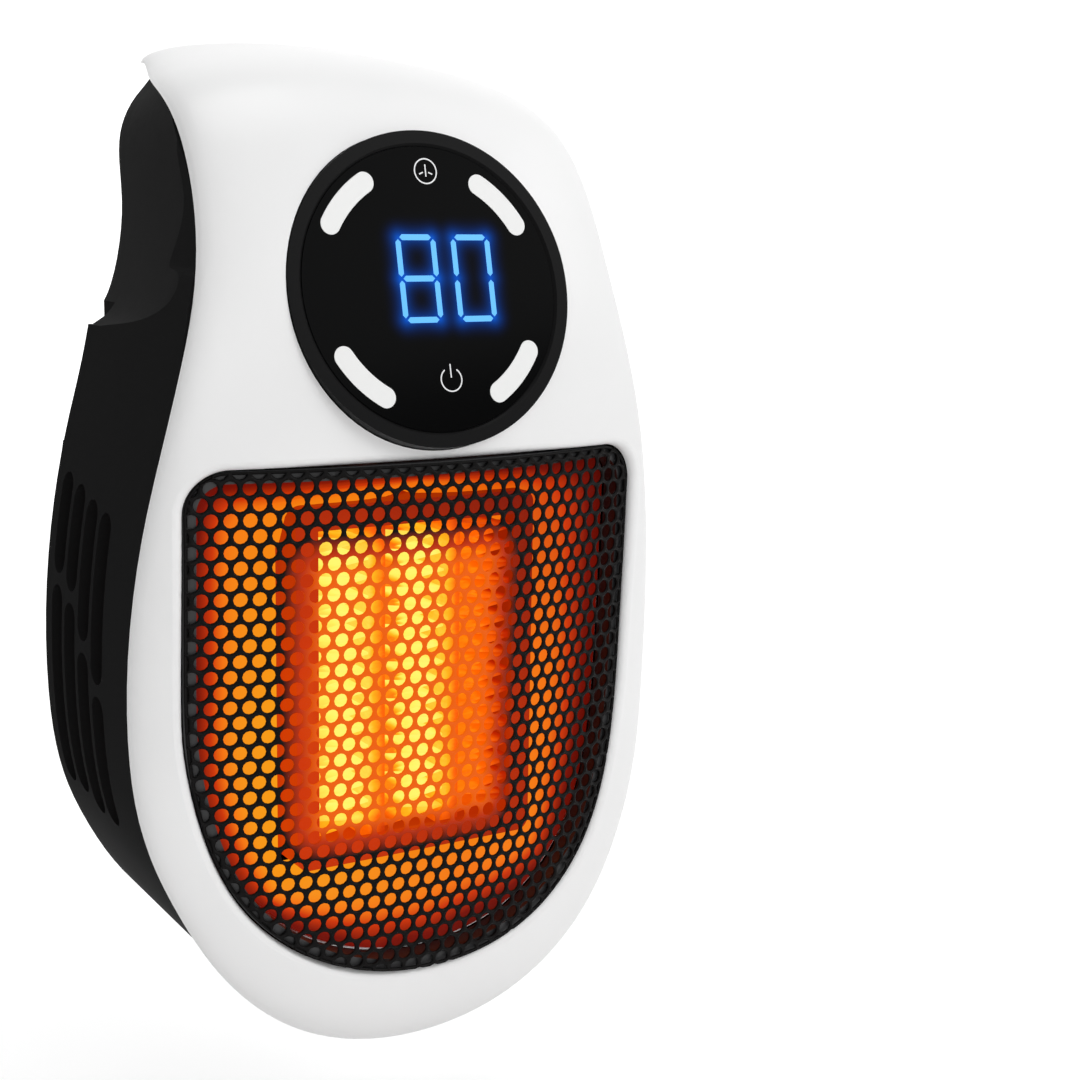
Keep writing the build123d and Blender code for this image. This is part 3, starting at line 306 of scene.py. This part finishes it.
nickel = worked_metal("nickel_blade", (0.72, 0.70, 0.66), 0.24, 1)
brass = worked_metal("stamped_brass", (0.72, 0.50, 0.18), 0.3, 0)
steel = worked_metal("plated_steel", (0.56, 0.56, 0.57), 0.32, 2)
aluminium = worked_metal("drawn_aluminium", (0.74, 0.74, 0.75), 0.3, 2)
can_metal = worked_metal("capacitor_can", (0.30, 0.32, 0.37), 0.35, 1)
print("plastics and metals:", len(bpy.data.materials))

# %% [markdown]
# The glow is the heart of this heater. The ceramic core shines yellow, its folded fins are split by
# darker tubes, and the duct round it only shows the red light that reaches it, which is painted on it
# as a glow. A surface that gives light of its own is an emission, and so is that painted glow, whose
# colour here depends on the point's distance from the core.

# %% Core place and the painted light on what surrounds it
core_low, core_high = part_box("heater_fins")
core_middle = (core_low + core_high) / 2
core_half = (core_high - core_low) / 2
print("core middle, mm:", [round(v / MM, 1) for v in core_middle])


def core_distance(axes, shrink=0.0, shift=0.0):
    """Distance in the front view from the core's rectangle, smaller by shrink and moved by shift."""
    x = ((axes[0] - shift).size() - (core_half.x - shrink)).most(0.0)
    z = ((axes[2] - core_middle.z).size() - (core_half.z - shrink)).most(0.0)
    return (x * x + z * z).power(0.5)


# Painted light from the core: how far it reaches, the painted shade at the front lip, the depth of its
# random patches, and its shares: plain, more on the left and more low down.
painted_light_reach, lip_painted_shade, patch_depth = 60 * MM, 0.72, 0.24
plain_share, left_share, low_share = 0.50, 0.30, 0.20


def painted_core_light(name, dim=1.0):
    """Sheet metal with the core's light painted on as a glow, fading from orange to dark red outwards
    and to the front.
    """
    finish = Finish(name, (0.02, 0.005, 0.002), 0.5, 0.0, specular_ior_level=0.1)
    point, axes = finish.place()
    forward = finish.node("ShaderNodeAttribute", {"attribute_name": "forward"}, output="Fac")
    near = 1 - core_distance(axes) / painted_light_reach
    # Painted shade towards the front lip, and painted light stronger to the left and low down.
    lip = 1 - forward.fade(0.45, 1.0) * lip_painted_shade
    patches = finish.noise(finish.stretched(point, (1.0, 1.0, 0.6)), 60.0, 2.0)
    left = (axes[0] / core_half.x * -0.5).fade(-0.9, 0.7)
    low = ((axes[2] - core_middle.z) / core_half.z * -0.5).fade(-0.8, 0.3)
    place_share = plain_share + left_share * left + low_share * low
    level = (near * place_share * lip + (patches - 0.5) * patch_depth) * dim
    colour = finish.ramp(level, [(0.0, (0.010, 0.0, 0.0)), (0.20, (0.17, 0.003, 0.0)),
                                 (0.40, (0.60, 0.035, 0.0005)), (0.60, (0.90, 0.17, 0.004)),
                                 (1.0, (0.93, 0.36, 0.010))])
    finish.set("Emission Color", colour)
    finish.set("Emission Strength", 1.0)
    return finish.material


end_loss, grain_share = 0.35, 0.14


def glowing_core(name, dim=1.0):
    """The core's own light in bands across it: two yellow columns, and an orange one on the right."""
    finish = Finish(name, (0.05, 0.010, 0.002), 0.6, specular_ior_level=0.1)
    point, axes = finish.place()
    across = axes[0] / core_half.x * 0.5 + 0.5
    bands = [(0.0, 0.66), (0.05, 0.86), (0.15, 1.0), (0.28, 0.97), (0.35, 0.66), (0.40, 0.64),
             (0.45, 0.95), (0.58, 1.0), (0.66, 0.88), (0.71, 0.62), (0.82, 0.64), (0.90, 0.52),
             (0.96, 0.34), (1.0, 0.22)]
    warmth = finish.ramp(across, [(place, (share,) * 3) for place, share in bands])
    ends = 1 - ((axes[2] - core_middle.z).size() / core_half.z).fade(0.84, 1.05) * end_loss
    grain = finish.noise(finish.stretched(point, (1.0, 1.0, 2.2)), 420.0, 3.0, 0.6)
    level = warmth * ends * dim + (grain - 0.5) * grain_share
    colour = finish.ramp(level, [(0.0, (0.08, 0.003, 0.0)), (0.35, (0.50, 0.018, 0.0002)),
                                 (0.60, (1.0, 0.13, 0.001)), (0.78, (1.0, 0.46, 0.010)),
                                 (0.95, (1.0, 0.86, 0.115)), (1.0, (1.0, 0.90, 0.16))])
    finish.set("Emission Color", colour)
    finish.set("Emission Strength", 1.0)
    return finish.material


# The duct and the frame carry the core's light as a painted glow.
duct_painted_light = painted_core_light("duct_painted_light")
frame_painted_light = painted_core_light("frame_painted_light", 0.42)
fin_glow = glowing_core("fin_glow")
tube_glow = glowing_core("tube_glow", 0.90)

# %% [markdown]
# The display is a disc of dark glass. Its digits are lit segments behind the glass, and the real
# ones throw a blue haze on it. The haze is painted into the glass's own finish as a glow: the
# distance from each lit bar gives a painted glow that fades within a few millimetres.

# %% Places on the display disc
lens_low, lens_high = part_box("display_lens")
lens_middle = (lens_low + lens_high) / 2
disc_lean = radians(13)
disc_out = Vector((0, -cos(disc_lean), sin(disc_lean)))
disc_up = Vector((0, sin(disc_lean), cos(disc_lean)))
glass_half = 0.9 * MM
glass_face = lens_middle + disc_out * glass_half

digit_height, digit_width, digit_pitch = 14.2, 7.3, 10.1
digit_shift, digit_rise = 2.8, 1.7
bar_stroke, bar_gap = 0.95, 0.3


def lit_bars():
    """Middle, half-length and direction of each lit bar, in mm on the disc: an 8 and a 0."""
    level, upright = digit_width - bar_stroke, (digit_height - bar_stroke) / 2
    bars = []
    for side, rows in ((-1, (-1, 0, 1)), (1, (-1, 1))):
        middle = digit_shift + side * digit_pitch / 2
        bars += [(middle, digit_rise + row * upright, level / 2 - bar_gap, False) for row in rows]
        bars += [(middle + edge * level / 2, digit_rise + half * upright / 2, upright / 2 - bar_gap,
                  True) for edge in (-1, 1) for half in (-1, 1)]
    return bars


def on_disc(u, v, out):
    """Points of the disc's face from their places across and up it, in mm, as an array."""
    u, v, out = np.broadcast_arrays(np.asarray(u, float), np.asarray(v, float), np.asarray(out, float))
    base = np.array(glass_face) / MM
    return (base + u[..., None] * np.array([1.0, 0, 0]) + v[..., None] * np.array(disc_up)
            + out[..., None] * np.array(disc_out))


print("lit bars:", len(lit_bars()), "glass middle, mm:", [round(v / MM, 1) for v in glass_face])

# %% Dark glass with the painted haze of the digits
# The painted haze: its reach and fall in mm, and its gain.
haze_reach, haze_fall, haze_gain = 5.0, 5.0, 0.6


def display_glass_painted_haze():
    """Black glass with a painted glow, the sum of what each lit bar gives at its distance."""
    finish = Finish("display_glass_painted_haze", (0.0015, 0.0016, 0.0017), 0.14, specular_ior_level=0.015)
    _, axes = finish.place()
    u = axes[0] / MM
    v = (axes[2] - glass_face.z) / (cos(disc_lean) * MM)
    painted_haze = None
    for middle_u, middle_v, half, upright in lit_bars():
        across, along = (half if not upright else 0.0), (half if upright else 0.0)
        du = ((u - middle_u).size() - across).most(0.0)
        dv = ((v - middle_v).size() - along).most(0.0)
        near = 1 - (du * du + dv * dv).power(0.5) / haze_reach
        share = near.most(0.0).power(haze_fall)
        painted_haze = share if painted_haze is None else painted_haze + share
    colour = finish.mix((painted_haze * haze_gain).least(1.0), (0.0, 0.0, 0.0), (0.0, 0.12, 0.78))
    finish.set("Emission Color", colour)
    finish.set("Emission Strength", 0.75)
    return finish.material


def lit(name, colour, strength, base):
    """A surface that gives off an even light."""
    finish = Finish(name, base, 0.4)
    finish.set("Emission Color", (*colour, 1.0))
    finish.set("Emission Strength", strength)
    return finish.material


glass = display_glass_painted_haze()
digit_light = lit("digit_light", (0.07, 0.47, 1.0), 1.0, (0.01, 0.03, 0.08))
# The printed marks are white print with a faint painted glow on top, and the light bars are white
# plastic with a fainter painted glow.
mark_white_painted_glow = lit("printed_mark_painted_glow", (0.7, 0.72, 0.75), 0.35, (0.6, 0.6, 0.6))
bar_white_painted_glow = lit("light_bar_white_painted_glow", (0.9, 0.93, 0.95), 0.10, (0.80, 0.80, 0.79))

# %% [markdown]
# Each lit bar is a flat hexagon with pointed ends. The real one shines from behind the glass. Here
# the glass lets no light through, so the bar lies a hair in front of it. The two symbols are thin
# printed lines. A line is a strip: points along a path are pushed to both sides by half its width.

# %% Digits and symbols
print_lift = 0.02


def strip_outline(path, width):
    """The left and right edges of a strip along a path of points in the plane."""
    path = np.asarray(path, float)
    course = np.gradient(path, axis=0)
    course /= np.linalg.norm(course, axis=1, keepdims=True)
    side = np.stack([-course[:, 1], course[:, 0]], 1) * width / 2
    return path + side, path - side


def printed_lines(name, paths, width, lay, body):
    """Flat strips along paths, joined into one piece. lay puts points of the plane on the object."""
    points, faces = [], []
    for path in paths:
        edges = np.concatenate(strip_outline(path, width))
        start = sum(len(p) for p in points)
        points.append(lay(edges))
        faces += (grid_faces(2, len(edges) // 2) + start).tolist()
    return mesh_piece(name, np.concatenate(points), faces, mark_white_painted_glow, body, False)


bar_points, bar_faces = [], []
for middle_u, middle_v, half, upright in lit_bars():
    stroke = bar_stroke / 2
    corners = np.array([(half, 0), (half - stroke, stroke), (stroke - half, stroke),
                        (-half, 0), (stroke - half, -stroke), (half - stroke, -stroke)])
    corners = corners[:, ::-1] if upright else corners
    ring = on_disc(corners[:, 0] + middle_u, corners[:, 1] + middle_v, print_lift)
    order = range(6) if not upright else range(5, -1, -1)
    bar_faces.append([len(bar_points) * 6 + k for k in order])
    bar_points.append(ring)
digits = mesh_piece("lit_digits", np.concatenate(bar_points), bar_faces, digit_light, "housing",
                    False)
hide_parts("digit_segments")


def arc(middle, radius, start, end, steps=40):
    """Points on an arc, with its angles in degrees."""
    turn = np.radians(np.linspace(start, end, steps))
    return np.stack([middle[0] + radius * np.cos(turn), middle[1] + radius * np.sin(turn)], 1)


def strokes(middle, *ends):
    """Straight lines, each from its two ends as seen from the symbol's middle."""
    return [np.add(middle, pair) for pair in ends]


power_middle, power_radius = (1.7, -14.6), 1.9
speed_middle, speed_radius = (0.9, 19.0), 2.0
symbol_width = 0.22
symbols = [arc(power_middle, power_radius, 125, 415),
           *strokes(power_middle, ((0, 0.3), (0, 2.5))),
           arc(speed_middle, speed_radius, 0, 360),
           *strokes(speed_middle, ((0, -0.9), (0, 1.1)), ((-1.2, -0.5), (-0.5, -0.2)),
                    ((0.5, -0.2), (1.2, -0.5)))]
printed_lines("display_symbols", symbols, symbol_width,
              lambda plan: on_disc(plan[:, 0], plan[:, 1], print_lift), "housing")
print("digit corners:", len(bar_points) * 6, "symbol lines:", len(symbols))

# %% [markdown]
# The grille is a sheet of black steel with over nine hundred holes in staggered rows, bulged like
# the cover. It could be one plane with a picture of holes, but the mesh is what the eye rests on,
# so each hole is real: a ring of points for the hole inside a hexagon that fits its neighbours,
# and both are laid on the bulge. A cell at the edge is cut by moving its outer points to the
# opening's outline.

# %% The opening's outline and the bulge
def smooth_curve(points, start, end, steps=60):
    """A cubic curve through points with given end directions, from continuous second derivatives."""
    points = np.asarray(points, float)
    gaps = np.linalg.norm(np.diff(points, axis=0), axis=1)
    knots = np.concatenate([[0], np.cumsum(gaps)])
    count = len(points)
    matrix, right = np.eye(count), np.zeros((count, 2))
    right[0], right[-1] = start, end
    for k in range(1, count - 1):
        matrix[k, k - 1:k + 2] = [gaps[k], 2 * (gaps[k - 1] + gaps[k]), gaps[k - 1]]
        right[k] = 3 * (gaps[k] / gaps[k - 1] * (points[k] - points[k - 1])
                        + gaps[k - 1] / gaps[k] * (points[k + 1] - points[k]))
    slopes = np.linalg.solve(matrix, right)
    at = np.linspace(0, knots[-1], steps)
    span = np.clip(np.searchsorted(knots, at, side="right") - 1, 0, count - 2)
    t = ((at - knots[span]) / gaps[span])[:, None]
    gap = gaps[span][:, None]
    return ((2 * t**3 - 3 * t**2 + 1) * points[span] + (t**3 - 2 * t**2 + t) * gap * slopes[span]
            + (3 * t**2 - 2 * t**3) * points[span + 1] + (t**3 - t**2) * gap * slopes[span + 1])


grille_low, grille_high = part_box("front_grille")
edge_gap = 0.3
grille_half = grille_high.x / MM + edge_gap
grille_foot = grille_low.z / MM - edge_gap
grille_top = grille_high.z / MM + edge_gap
grille_tall = grille_top - grille_foot
corner_radius, corner_steps = 7.0, 16
side_shares = [(0.0, 0.0), (0.52, 0.06), (0.825, 0.20), (0.985, 0.45), (1.0, 0.68)]


def opening_outline(inset):
    """The D-shaped opening in the front view, in mm, drawn in by inset, running anticlockwise."""
    side = [(w * grille_half, grille_foot + h * grille_tall) for w, h in side_shares]
    side = smooth_curve(side, (1, 0), (0, 1))
    middle = (grille_half - corner_radius, grille_top - corner_radius)
    corner = arc(middle, corner_radius, 0, 90, corner_steps)
    right = np.concatenate([side, corner, [(0.0, grille_top)]])
    course = np.gradient(right, axis=0)
    course /= np.linalg.norm(course, axis=1, keepdims=True)
    right = right + inset * np.stack([-course[:, 1], course[:, 0]], 1)
    right[0, 0] = right[-1, 0] = 0.0
    left = right[-2:0:-1] * [-1, 1]
    return np.concatenate([right, left])


solid_sheet = nodes["front_grille"].data
front_points = np.zeros(len(solid_sheet.vertices) * 3)
solid_sheet.vertices.foreach_get("co", front_points)
front_points = front_points.reshape(-1, 3) / MM


def bulge_terms(x, z):
    """The even powers of x and the powers of z that describe the bulge."""
    h = (z - grille_foot) / grille_tall
    return np.stack([x**0 * h**0, h, h**2, h**3, h**4, x**2, x**2 * h, x**2 * h**2, x**4], -1)


fit_rounds, fit_slack = 4, 0.25
for _ in range(fit_rounds):
    terms = bulge_terms(front_points[:, 0], front_points[:, 2])
    fit = np.linalg.lstsq(terms, front_points[:, 1], rcond=None)[0]
    miss = front_points[:, 1] - terms @ fit
    front_points = front_points[miss < fit_slack]
print("bulge fit, worst miss in mm:", round(float(np.abs(miss[miss < fit_slack]).max()), 3))


def bulge(x, z):
    """The depth of the sheet's front face at x and z, in mm."""
    return bulge_terms(np.asarray(x, float), np.asarray(z, float)) @ fit


# %% Distances from an outline
def outline_distance(points, outline):
    """Signed distance of points from a closed outline, negative inside, and the nearest points."""
    a, b = outline, np.roll(outline, -1, axis=0)
    step = b - a
    offset = points[:, None, :] - a[None]
    t = np.clip((offset * step).sum(-1) / (step * step).sum(-1), 0, 1)
    near = a[None] + t[..., None] * step[None]
    gap = np.linalg.norm(points[:, None, :] - near, axis=-1)
    pick = gap.argmin(1)
    rows = np.arange(len(points))
    above = a[None, :, 1] > points[:, None, 1]
    above_next = b[None, :, 1] > points[:, None, 1]
    height = np.where(np.abs(step[:, 1]) < 1e-9, 1e-9, step[:, 1])
    cross_x = a[None, :, 0] + (points[:, None, 1] - a[None, :, 1]) / height * step[None, :, 0]
    inside = ((above != above_next) & (points[:, None, 0] < cross_x)).sum(1) % 2 == 1
    return np.where(inside, -gap[rows, pick], gap[rows, pick]), near[rows, pick]


def held_inside(points, outline):
    """Points, with those outside the outline moved to its nearest point."""
    distance, near = outline_distance(points, outline)
    return np.where((distance > 0)[:, None], near, points)


# %% The mesh of the grille
edge_lap, hole_lap, foot_start = 0.05, 0.5, 1.0
cell_corners = 12


def grille_mesh(pitch=2.9, hole=1.16, wire=0.55, round_over=0.16):
    """Cells of a hexagonal mesh: rings at the cell's edge and at the hole, in front and behind."""
    edge = opening_outline(edge_gap + edge_lap)
    hole_edge = opening_outline(edge_gap + hole_lap)
    rows = int(grille_tall / (pitch * sqrt(3) / 2)) + 3
    columns = int(grille_half / pitch) + 2
    row, column = np.meshgrid(np.arange(rows), np.arange(-columns, columns + 1), indexing="ij")
    middle = np.stack([(column + row % 2 / 2) * pitch,
                       grille_foot - foot_start + row * pitch * sqrt(3) / 2], -1).reshape(-1, 2)
    middle = middle[outline_distance(middle, edge)[0] < pitch * 0.45]
    turn = np.radians(np.arange(cell_corners) * 360.0 / cell_corners)
    reach = np.where(np.arange(cell_corners) % 2, pitch / sqrt(3), pitch / 2)
    unit = np.stack([np.cos(turn), np.sin(turn)], 1)
    outer = (middle[:, None] + unit * reach[:, None]).reshape(-1, 2)
    lip = (middle[:, None] + unit * hole).reshape(-1, 2)
    outer, lip = held_inside(outer, edge), held_inside(lip, hole_edge)
    rings = []
    for plan, depth in ((outer, 0.0), (lip, round_over), (lip, wire), (outer, wire + edge_lap)):
        rings.append(np.stack([plan[:, 0], bulge(plan[:, 0], plan[:, 1]) + depth, plan[:, 1]], 1))
    points = np.stack(rings).reshape(len(rings), -1, cell_corners, 3).transpose(1, 0, 2, 3)
    cell = grid_faces(len(rings), cell_corners, closed=True)
    first = np.arange(len(points)) * len(rings) * cell_corners
    faces = (cell[None] + first[:, None, None]).reshape(-1, 4)
    print("grille cells:", len(points))
    return weld(points.reshape(-1, 3), faces)


# Where the painted glow on the wires lies: the core's rectangle drawn in, moved left, and how fast the
# glow fades.
hot_shrink, hot_shift, painted_glow_fade = 5 * MM, -6 * MM, 6 * MM


def wire_finish():
    """Black enamel on steel. In front of the core's hot columns it carries a painted orange glow, fading
    outwards.
    """
    finish = Finish("black_enamel_painted_glow", (0.004, 0.004, 0.004), 0.30, specular_ior_level=0.05)
    point, axes = finish.place()
    dust = finish.noise(point, 700.0, 3.0)
    finish.set("Base Color", finish.mix(dust, (0.003, 0.003, 0.003), (0.010, 0.009, 0.009)))
    finish.set("Roughness", dust * 0.2 + 0.24)
    # Painted glow: the wires are given orange light in front of the core.
    painted_warmth = (1 - core_distance(axes, hot_shrink, hot_shift) / painted_glow_fade).most(0.0)
    finish.set("Emission Color", finish.ramp(painted_warmth, [(0.0, (0.0, 0.0, 0.0)), (0.5, (0.50, 0.028, 0.0)),
                                                    (1.0, (0.84, 0.115, 0.0))]))
    finish.set("Emission Strength", 1.0)
    return finish.material


grille_points, grille_faces = grille_mesh()
grille = mesh_piece("hexagonal_grille", grille_points, grille_faces, wire_finish(), "housing")
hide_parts("front_grille")

# %% [markdown]
# Between the core and the grille the heater has a reflector, which catches most of the light that
# shows through the mesh; that light is painted on it as a glow. It is a surface between two closed
# lines, the core's frame behind and the opening in front: one parameter runs round, the other from
# back to front. Only its inside carries the painted glow, so a second surface just outside it is
# plain metal, which shows through the air slots.

# %% The reflector behind the grille
reflector_rings, reflector_power = 14, 0.7
front_inset, front_depth, back_depth, frame_gap = 2.6, 5.2, 7.0, 0.4
shell_gap = 0.5


def reflector(grow=0.0):
    """A funnel from a rectangle round the core to the grille's outline, its depth eased by a power."""
    front = opening_outline(front_inset)
    front_y = bulge(front[:, 0], front[:, 1]) + front_depth
    frame_low, frame_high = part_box("heater_frame")
    half_x = frame_high.x / MM + frame_gap
    half_z = (frame_high.z - frame_low.z) / (2 * MM) + frame_gap
    middle = np.array([0.0, core_middle.z / MM])
    course = front - middle
    scale = np.maximum(np.abs(course[:, 0]) / half_x, np.abs(course[:, 1]) / half_z)
    back = middle + course / scale[:, None]
    back_y = np.full(len(back), frame_low.y / MM + back_depth)
    t = np.linspace(0, 1, reflector_rings)[:, None]
    ease = t**reflector_power
    outward = course / np.linalg.norm(course, axis=1, keepdims=True) * grow
    x = back[:, 0] * (1 - t) + front[:, 0] * t + outward[:, 0]
    z = back[:, 1] * (1 - t) + front[:, 1] * t + outward[:, 1]
    y = back_y * (1 - ease) + front_y * ease + grow
    points = np.stack([x, y, z], -1)
    faces = grid_faces(reflector_rings, len(front), closed=True)[:, ::-1]
    return points.reshape(-1, 3), faces


reflector_points, reflector_faces = reflector()
reflector_piece = mesh_piece("core_reflector", reflector_points, reflector_faces, duct_painted_light, "housing")
ring_points = len(reflector_points) // reflector_rings
forward_shares = np.repeat(np.linspace(0, 1, reflector_rings), ring_points)
share_data = reflector_piece.data.attributes.new("forward", "FLOAT", "POINT")
share_data.data.foreach_set("value", forward_shares)
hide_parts("air_duct")
shell_points, shell_faces = reflector(shell_gap)
mesh_piece("reflector_shell", shell_points, shell_faces[:, ::-1], aluminium, "housing")
print("reflector faces:", len(reflector_faces), "and shell faces:", len(shell_faces))

# %% [markdown]
# The switch carries the usual sign for power, a ring and a stroke, printed on its button. It could
# be cut into the button, but print has no depth. It rides on the button, so that it tips with it.

# %% The sign on the rocker
rightward, same_way, same_level = 0.85, 0.9999, 0.1 * MM
sign_radius, sign_stroke, sign_width = 1.55, 0.75, 0.3


def plane_of(node_name):
    """The direction and middle of the largest flat face that a piece turns to the right."""
    mesh = nodes[node_name].data
    count = len(mesh.polygons)
    normals, areas = np.zeros(count * 3), np.zeros(count)
    mesh.polygons.foreach_get("normal", normals)
    mesh.polygons.foreach_get("area", areas)
    normals = normals.reshape(-1, 3)
    centres = np.zeros(count * 3)
    mesh.polygons.foreach_get("center", centres)
    centres = centres.reshape(-1, 3)
    pick = normals[:, 0] > rightward
    best = normals[pick][areas[pick].argmax()]
    flat = pick & (normals @ best > same_way)
    reach = centres[flat] @ best
    top = flat.copy()
    top[flat] = reach > reach.max() - same_level
    middle = (centres[top] * areas[top, None]).sum(0) / areas[top].sum()
    return best, middle


button_out, button_middle = plane_of("rocker_button")
button_up = np.array([0.0, 0.0, 1.0])
button_up = button_up - button_out * (button_up @ button_out)
button_up /= np.linalg.norm(button_up)
button_right = np.cross(button_up, button_out)


def on_button(plan):
    """Points of the button's face from their places across and up it, in mm."""
    return (button_middle / MM + plan[:, :1] * button_right + plan[:, 1:] * button_up
            + print_lift * button_out)


sign = [arc((0, 0), sign_radius, 0, 360), [(0, -sign_stroke), (0, sign_stroke)]]
printed_lines("rocker_sign", sign, sign_width, on_button, "rocker")
print("the button faces", [round(float(v), 3) for v in button_out])

# %% [markdown]
# Every other solid keeps its shape and only needs its finish. A rule could choose the finish from
# the piece's name, but a plain list shows at a glance what is made of what.

# %% Finishes of the solid pieces
dress(["front_cover"], white_plastic)
dress(["rear_housing"], black_plastic)
dress(["display_bezel"], ring_plastic)
dress(["display_lens"], glass)
dress(["light_bars"], bar_white_painted_glow)
dress(["plug_disc", "switch_body", "rocker_button", "control_chip"], black_gloss)
dress(["digit_module", "buzzer", "fan_frame", "fan_impeller", "tilt_switch", "plug_retainer",
       "grille_rim"], inner_plastic)
dress(["live_blade", "neutral_blade"], nickel)
dress(["case_screws", "fan_screws", "board_screws", "retainer_screws", "carrier_screws",
       "fan_motor", "fan_shaft", "thermal_cutout", "heater_brackets"], steel)
dress(["touch_pads", "contact_rings", "contact_brushes", "switch_terminals",
       "heater_electrodes"], brass)
dress(["display_board", "main_board", "contact_carrier", "terminal_block"], board_green)
dress(["relay"], blue_plastic)
dress(["film_capacitor", "transformer"], yellow_plastic)
dress(["cable_header"], tan_plastic)
dress(["can_capacitors"], can_metal)
dress(["board_fuse", "thermal_fuse"], white_ceramic)
# The frame carries the core's light as a painted glow, and the fins and tubes give the core's own light.
dress(["heater_frame"], frame_painted_light)
dress(["heater_fins"], fin_glow)
dress(["heater_tubes"], tube_glow)
print("finishes in all:", len(bpy.data.materials))

# %% [markdown]
# The heater hangs in front of plain white. The floor and the backdrop are one sheet, which curves
# up behind it, and its finish gives off white where it is seen, so that only the shadow shows. More
# light would whiten it too, but would wash the white cover out.

# %% Floor and backdrop
sheet_rows, sheet_columns = 60, 12
flat_share, curve_share = 0.35, 0.3
front_end, flat_end, curve_radius, wall_height, half_width = 1.2, 0.9, 0.6, 1.2, 2.2
floor_gap = 0.03


def backdrop():
    """A sheet that lies flat, then rises on a quarter circle behind the heater."""
    t = np.linspace(0, 1, sheet_rows)
    wall_start = flat_share + curve_share
    turn = np.clip((t - flat_share) / curve_share, 0, 1) * pi / 2
    y = np.where(t < flat_share, -front_end + t / flat_share * (front_end + flat_end),
                 flat_end + curve_radius * np.sin(turn))
    z = np.where(t > wall_start, curve_radius + (t - wall_start) / (1 - wall_start) * wall_height,
                 curve_radius * (1 - np.cos(turn)))
    x = np.linspace(-half_width, half_width, sheet_columns)
    x, y = np.meshgrid(x, y)
    z = np.repeat(z[:, None] + cad_box[0][2] - floor_gap, sheet_columns, 1)
    points = np.stack([x, y, z], -1).reshape(-1, 3)
    mesh = bpy.data.meshes.new("backdrop")
    mesh.from_pydata(points.tolist(), [], grid_faces(sheet_rows, sheet_columns)[:, ::-1].tolist())
    mesh.polygons.foreach_set("use_smooth", np.ones(len(mesh.polygons), bool))
    sheet = bpy.data.objects.new("backdrop", mesh)
    bpy.context.scene.collection.objects.link(sheet)
    paper = Finish("white_paper", (0.85, 0.85, 0.85), 0.9)
    _, axes = paper.place()
    rise = axes[1].fade(-0.1, 0.8) * 0.45 + 0.55
    paper.set("Emission Color", paper.mix(paper.seen() * rise, (0.0, 0.0, 0.0), (1.0, 1.0, 1.0)))
    paper.set("Emission Strength", 1.0)
    mesh.materials.append(paper.material)


backdrop()

# %% [markdown]
# The air round the heater gives a weak, even light, as the white walls of a studio do. Where it is
# seen it is plain white, like the sheet, and where it only lights the heater it stays weak.

# %% Surroundings
air_light = 0.36
scene = bpy.context.scene
world = bpy.data.worlds.new("studio")
scene.world = world
world.use_nodes = True
surroundings = Network(world.node_tree)
background = world.node_tree.nodes["Background"].inputs
background["Color"].default_value = (1.0, 1.0, 1.0, 1.0)
air_strength = surroundings.seen() * (1 - air_light) + air_light
world.node_tree.links.new(air_strength.socket, background["Strength"])

# %% [markdown]
# Three large, soft lamps stand round the heater, as in a studio: the main one in front on the
# right, a weaker one in front on the left, and one above. Small lamps would draw hard shadows.


# %% Lamps
def lamp(name, place, size, power, aim):
    """A square area lamp at a place, facing another."""
    data = bpy.data.lights.new(name, "AREA")
    data.shape, data.size, data.energy = "SQUARE", size, power
    lamp_object = bpy.data.objects.new(name, data)
    scene.collection.objects.link(lamp_object)
    course = Vector(aim) - Vector(place)
    turn = course.to_track_quat("-Z", "Y").to_matrix().to_4x4()
    lamp_object.matrix_world = Matrix.Translation(place) @ turn


heater_middle = (cad_box[0][0] + cad_box[1][0]) / 2, -0.05, -0.06
lamp("key_lamp", (0.55, -0.75, 0.55), 0.6, 4.15, heater_middle)
lamp("fill_lamp", (-0.35, -1.0, 0.1), 0.5, 1.45, heater_middle)
lamp("top_lamp", (0.0, 0.1, 0.9), 0.6, 1.95, heater_middle)
print("lamps:", len(bpy.data.lights))

# %% [markdown]
# The camera stands where the photograph was taken: about thirty centimetres in front of the
# heater, to its left and a little above its middle. It could aim at a point, but its turn about the
# upright, its height angle and a slight roll follow more directly from the lines in the picture.

# %% Camera
camera_place = Vector((-134.781, -307.93, -4.45)) * MM
turn, rise, roll = radians(-29.7744), radians(10.2303), radians(0.4478)
focal_pixels, image_pixels, sensor_mm = 1688.07, 1080.0, 36.0
image_shift = (0.1, -0.01)
back = Vector((sin(turn) * cos(rise), -cos(turn) * cos(rise), sin(rise)))
level = Vector((cos(turn), sin(turn), 0.0))
upward = back.cross(level)
right = level * cos(roll) + upward * sin(roll)
upward = back.cross(right)
camera_data = bpy.data.cameras.new("camera")
camera_data.sensor_width = sensor_mm
camera_data.lens = focal_pixels / image_pixels * sensor_mm
camera_data.shift_x, camera_data.shift_y = image_shift
camera_data.clip_start = 0.01
camera = bpy.data.objects.new("camera", camera_data)
scene.collection.objects.link(camera)
camera_turn = Matrix((right, upward, back)).transposed().to_4x4()
camera.matrix_world = Matrix.Translation(camera_place) @ camera_turn
scene.camera = camera
scene.view_settings.view_transform = "Standard"
print("camera lens, mm:", round(camera_data.lens, 2))
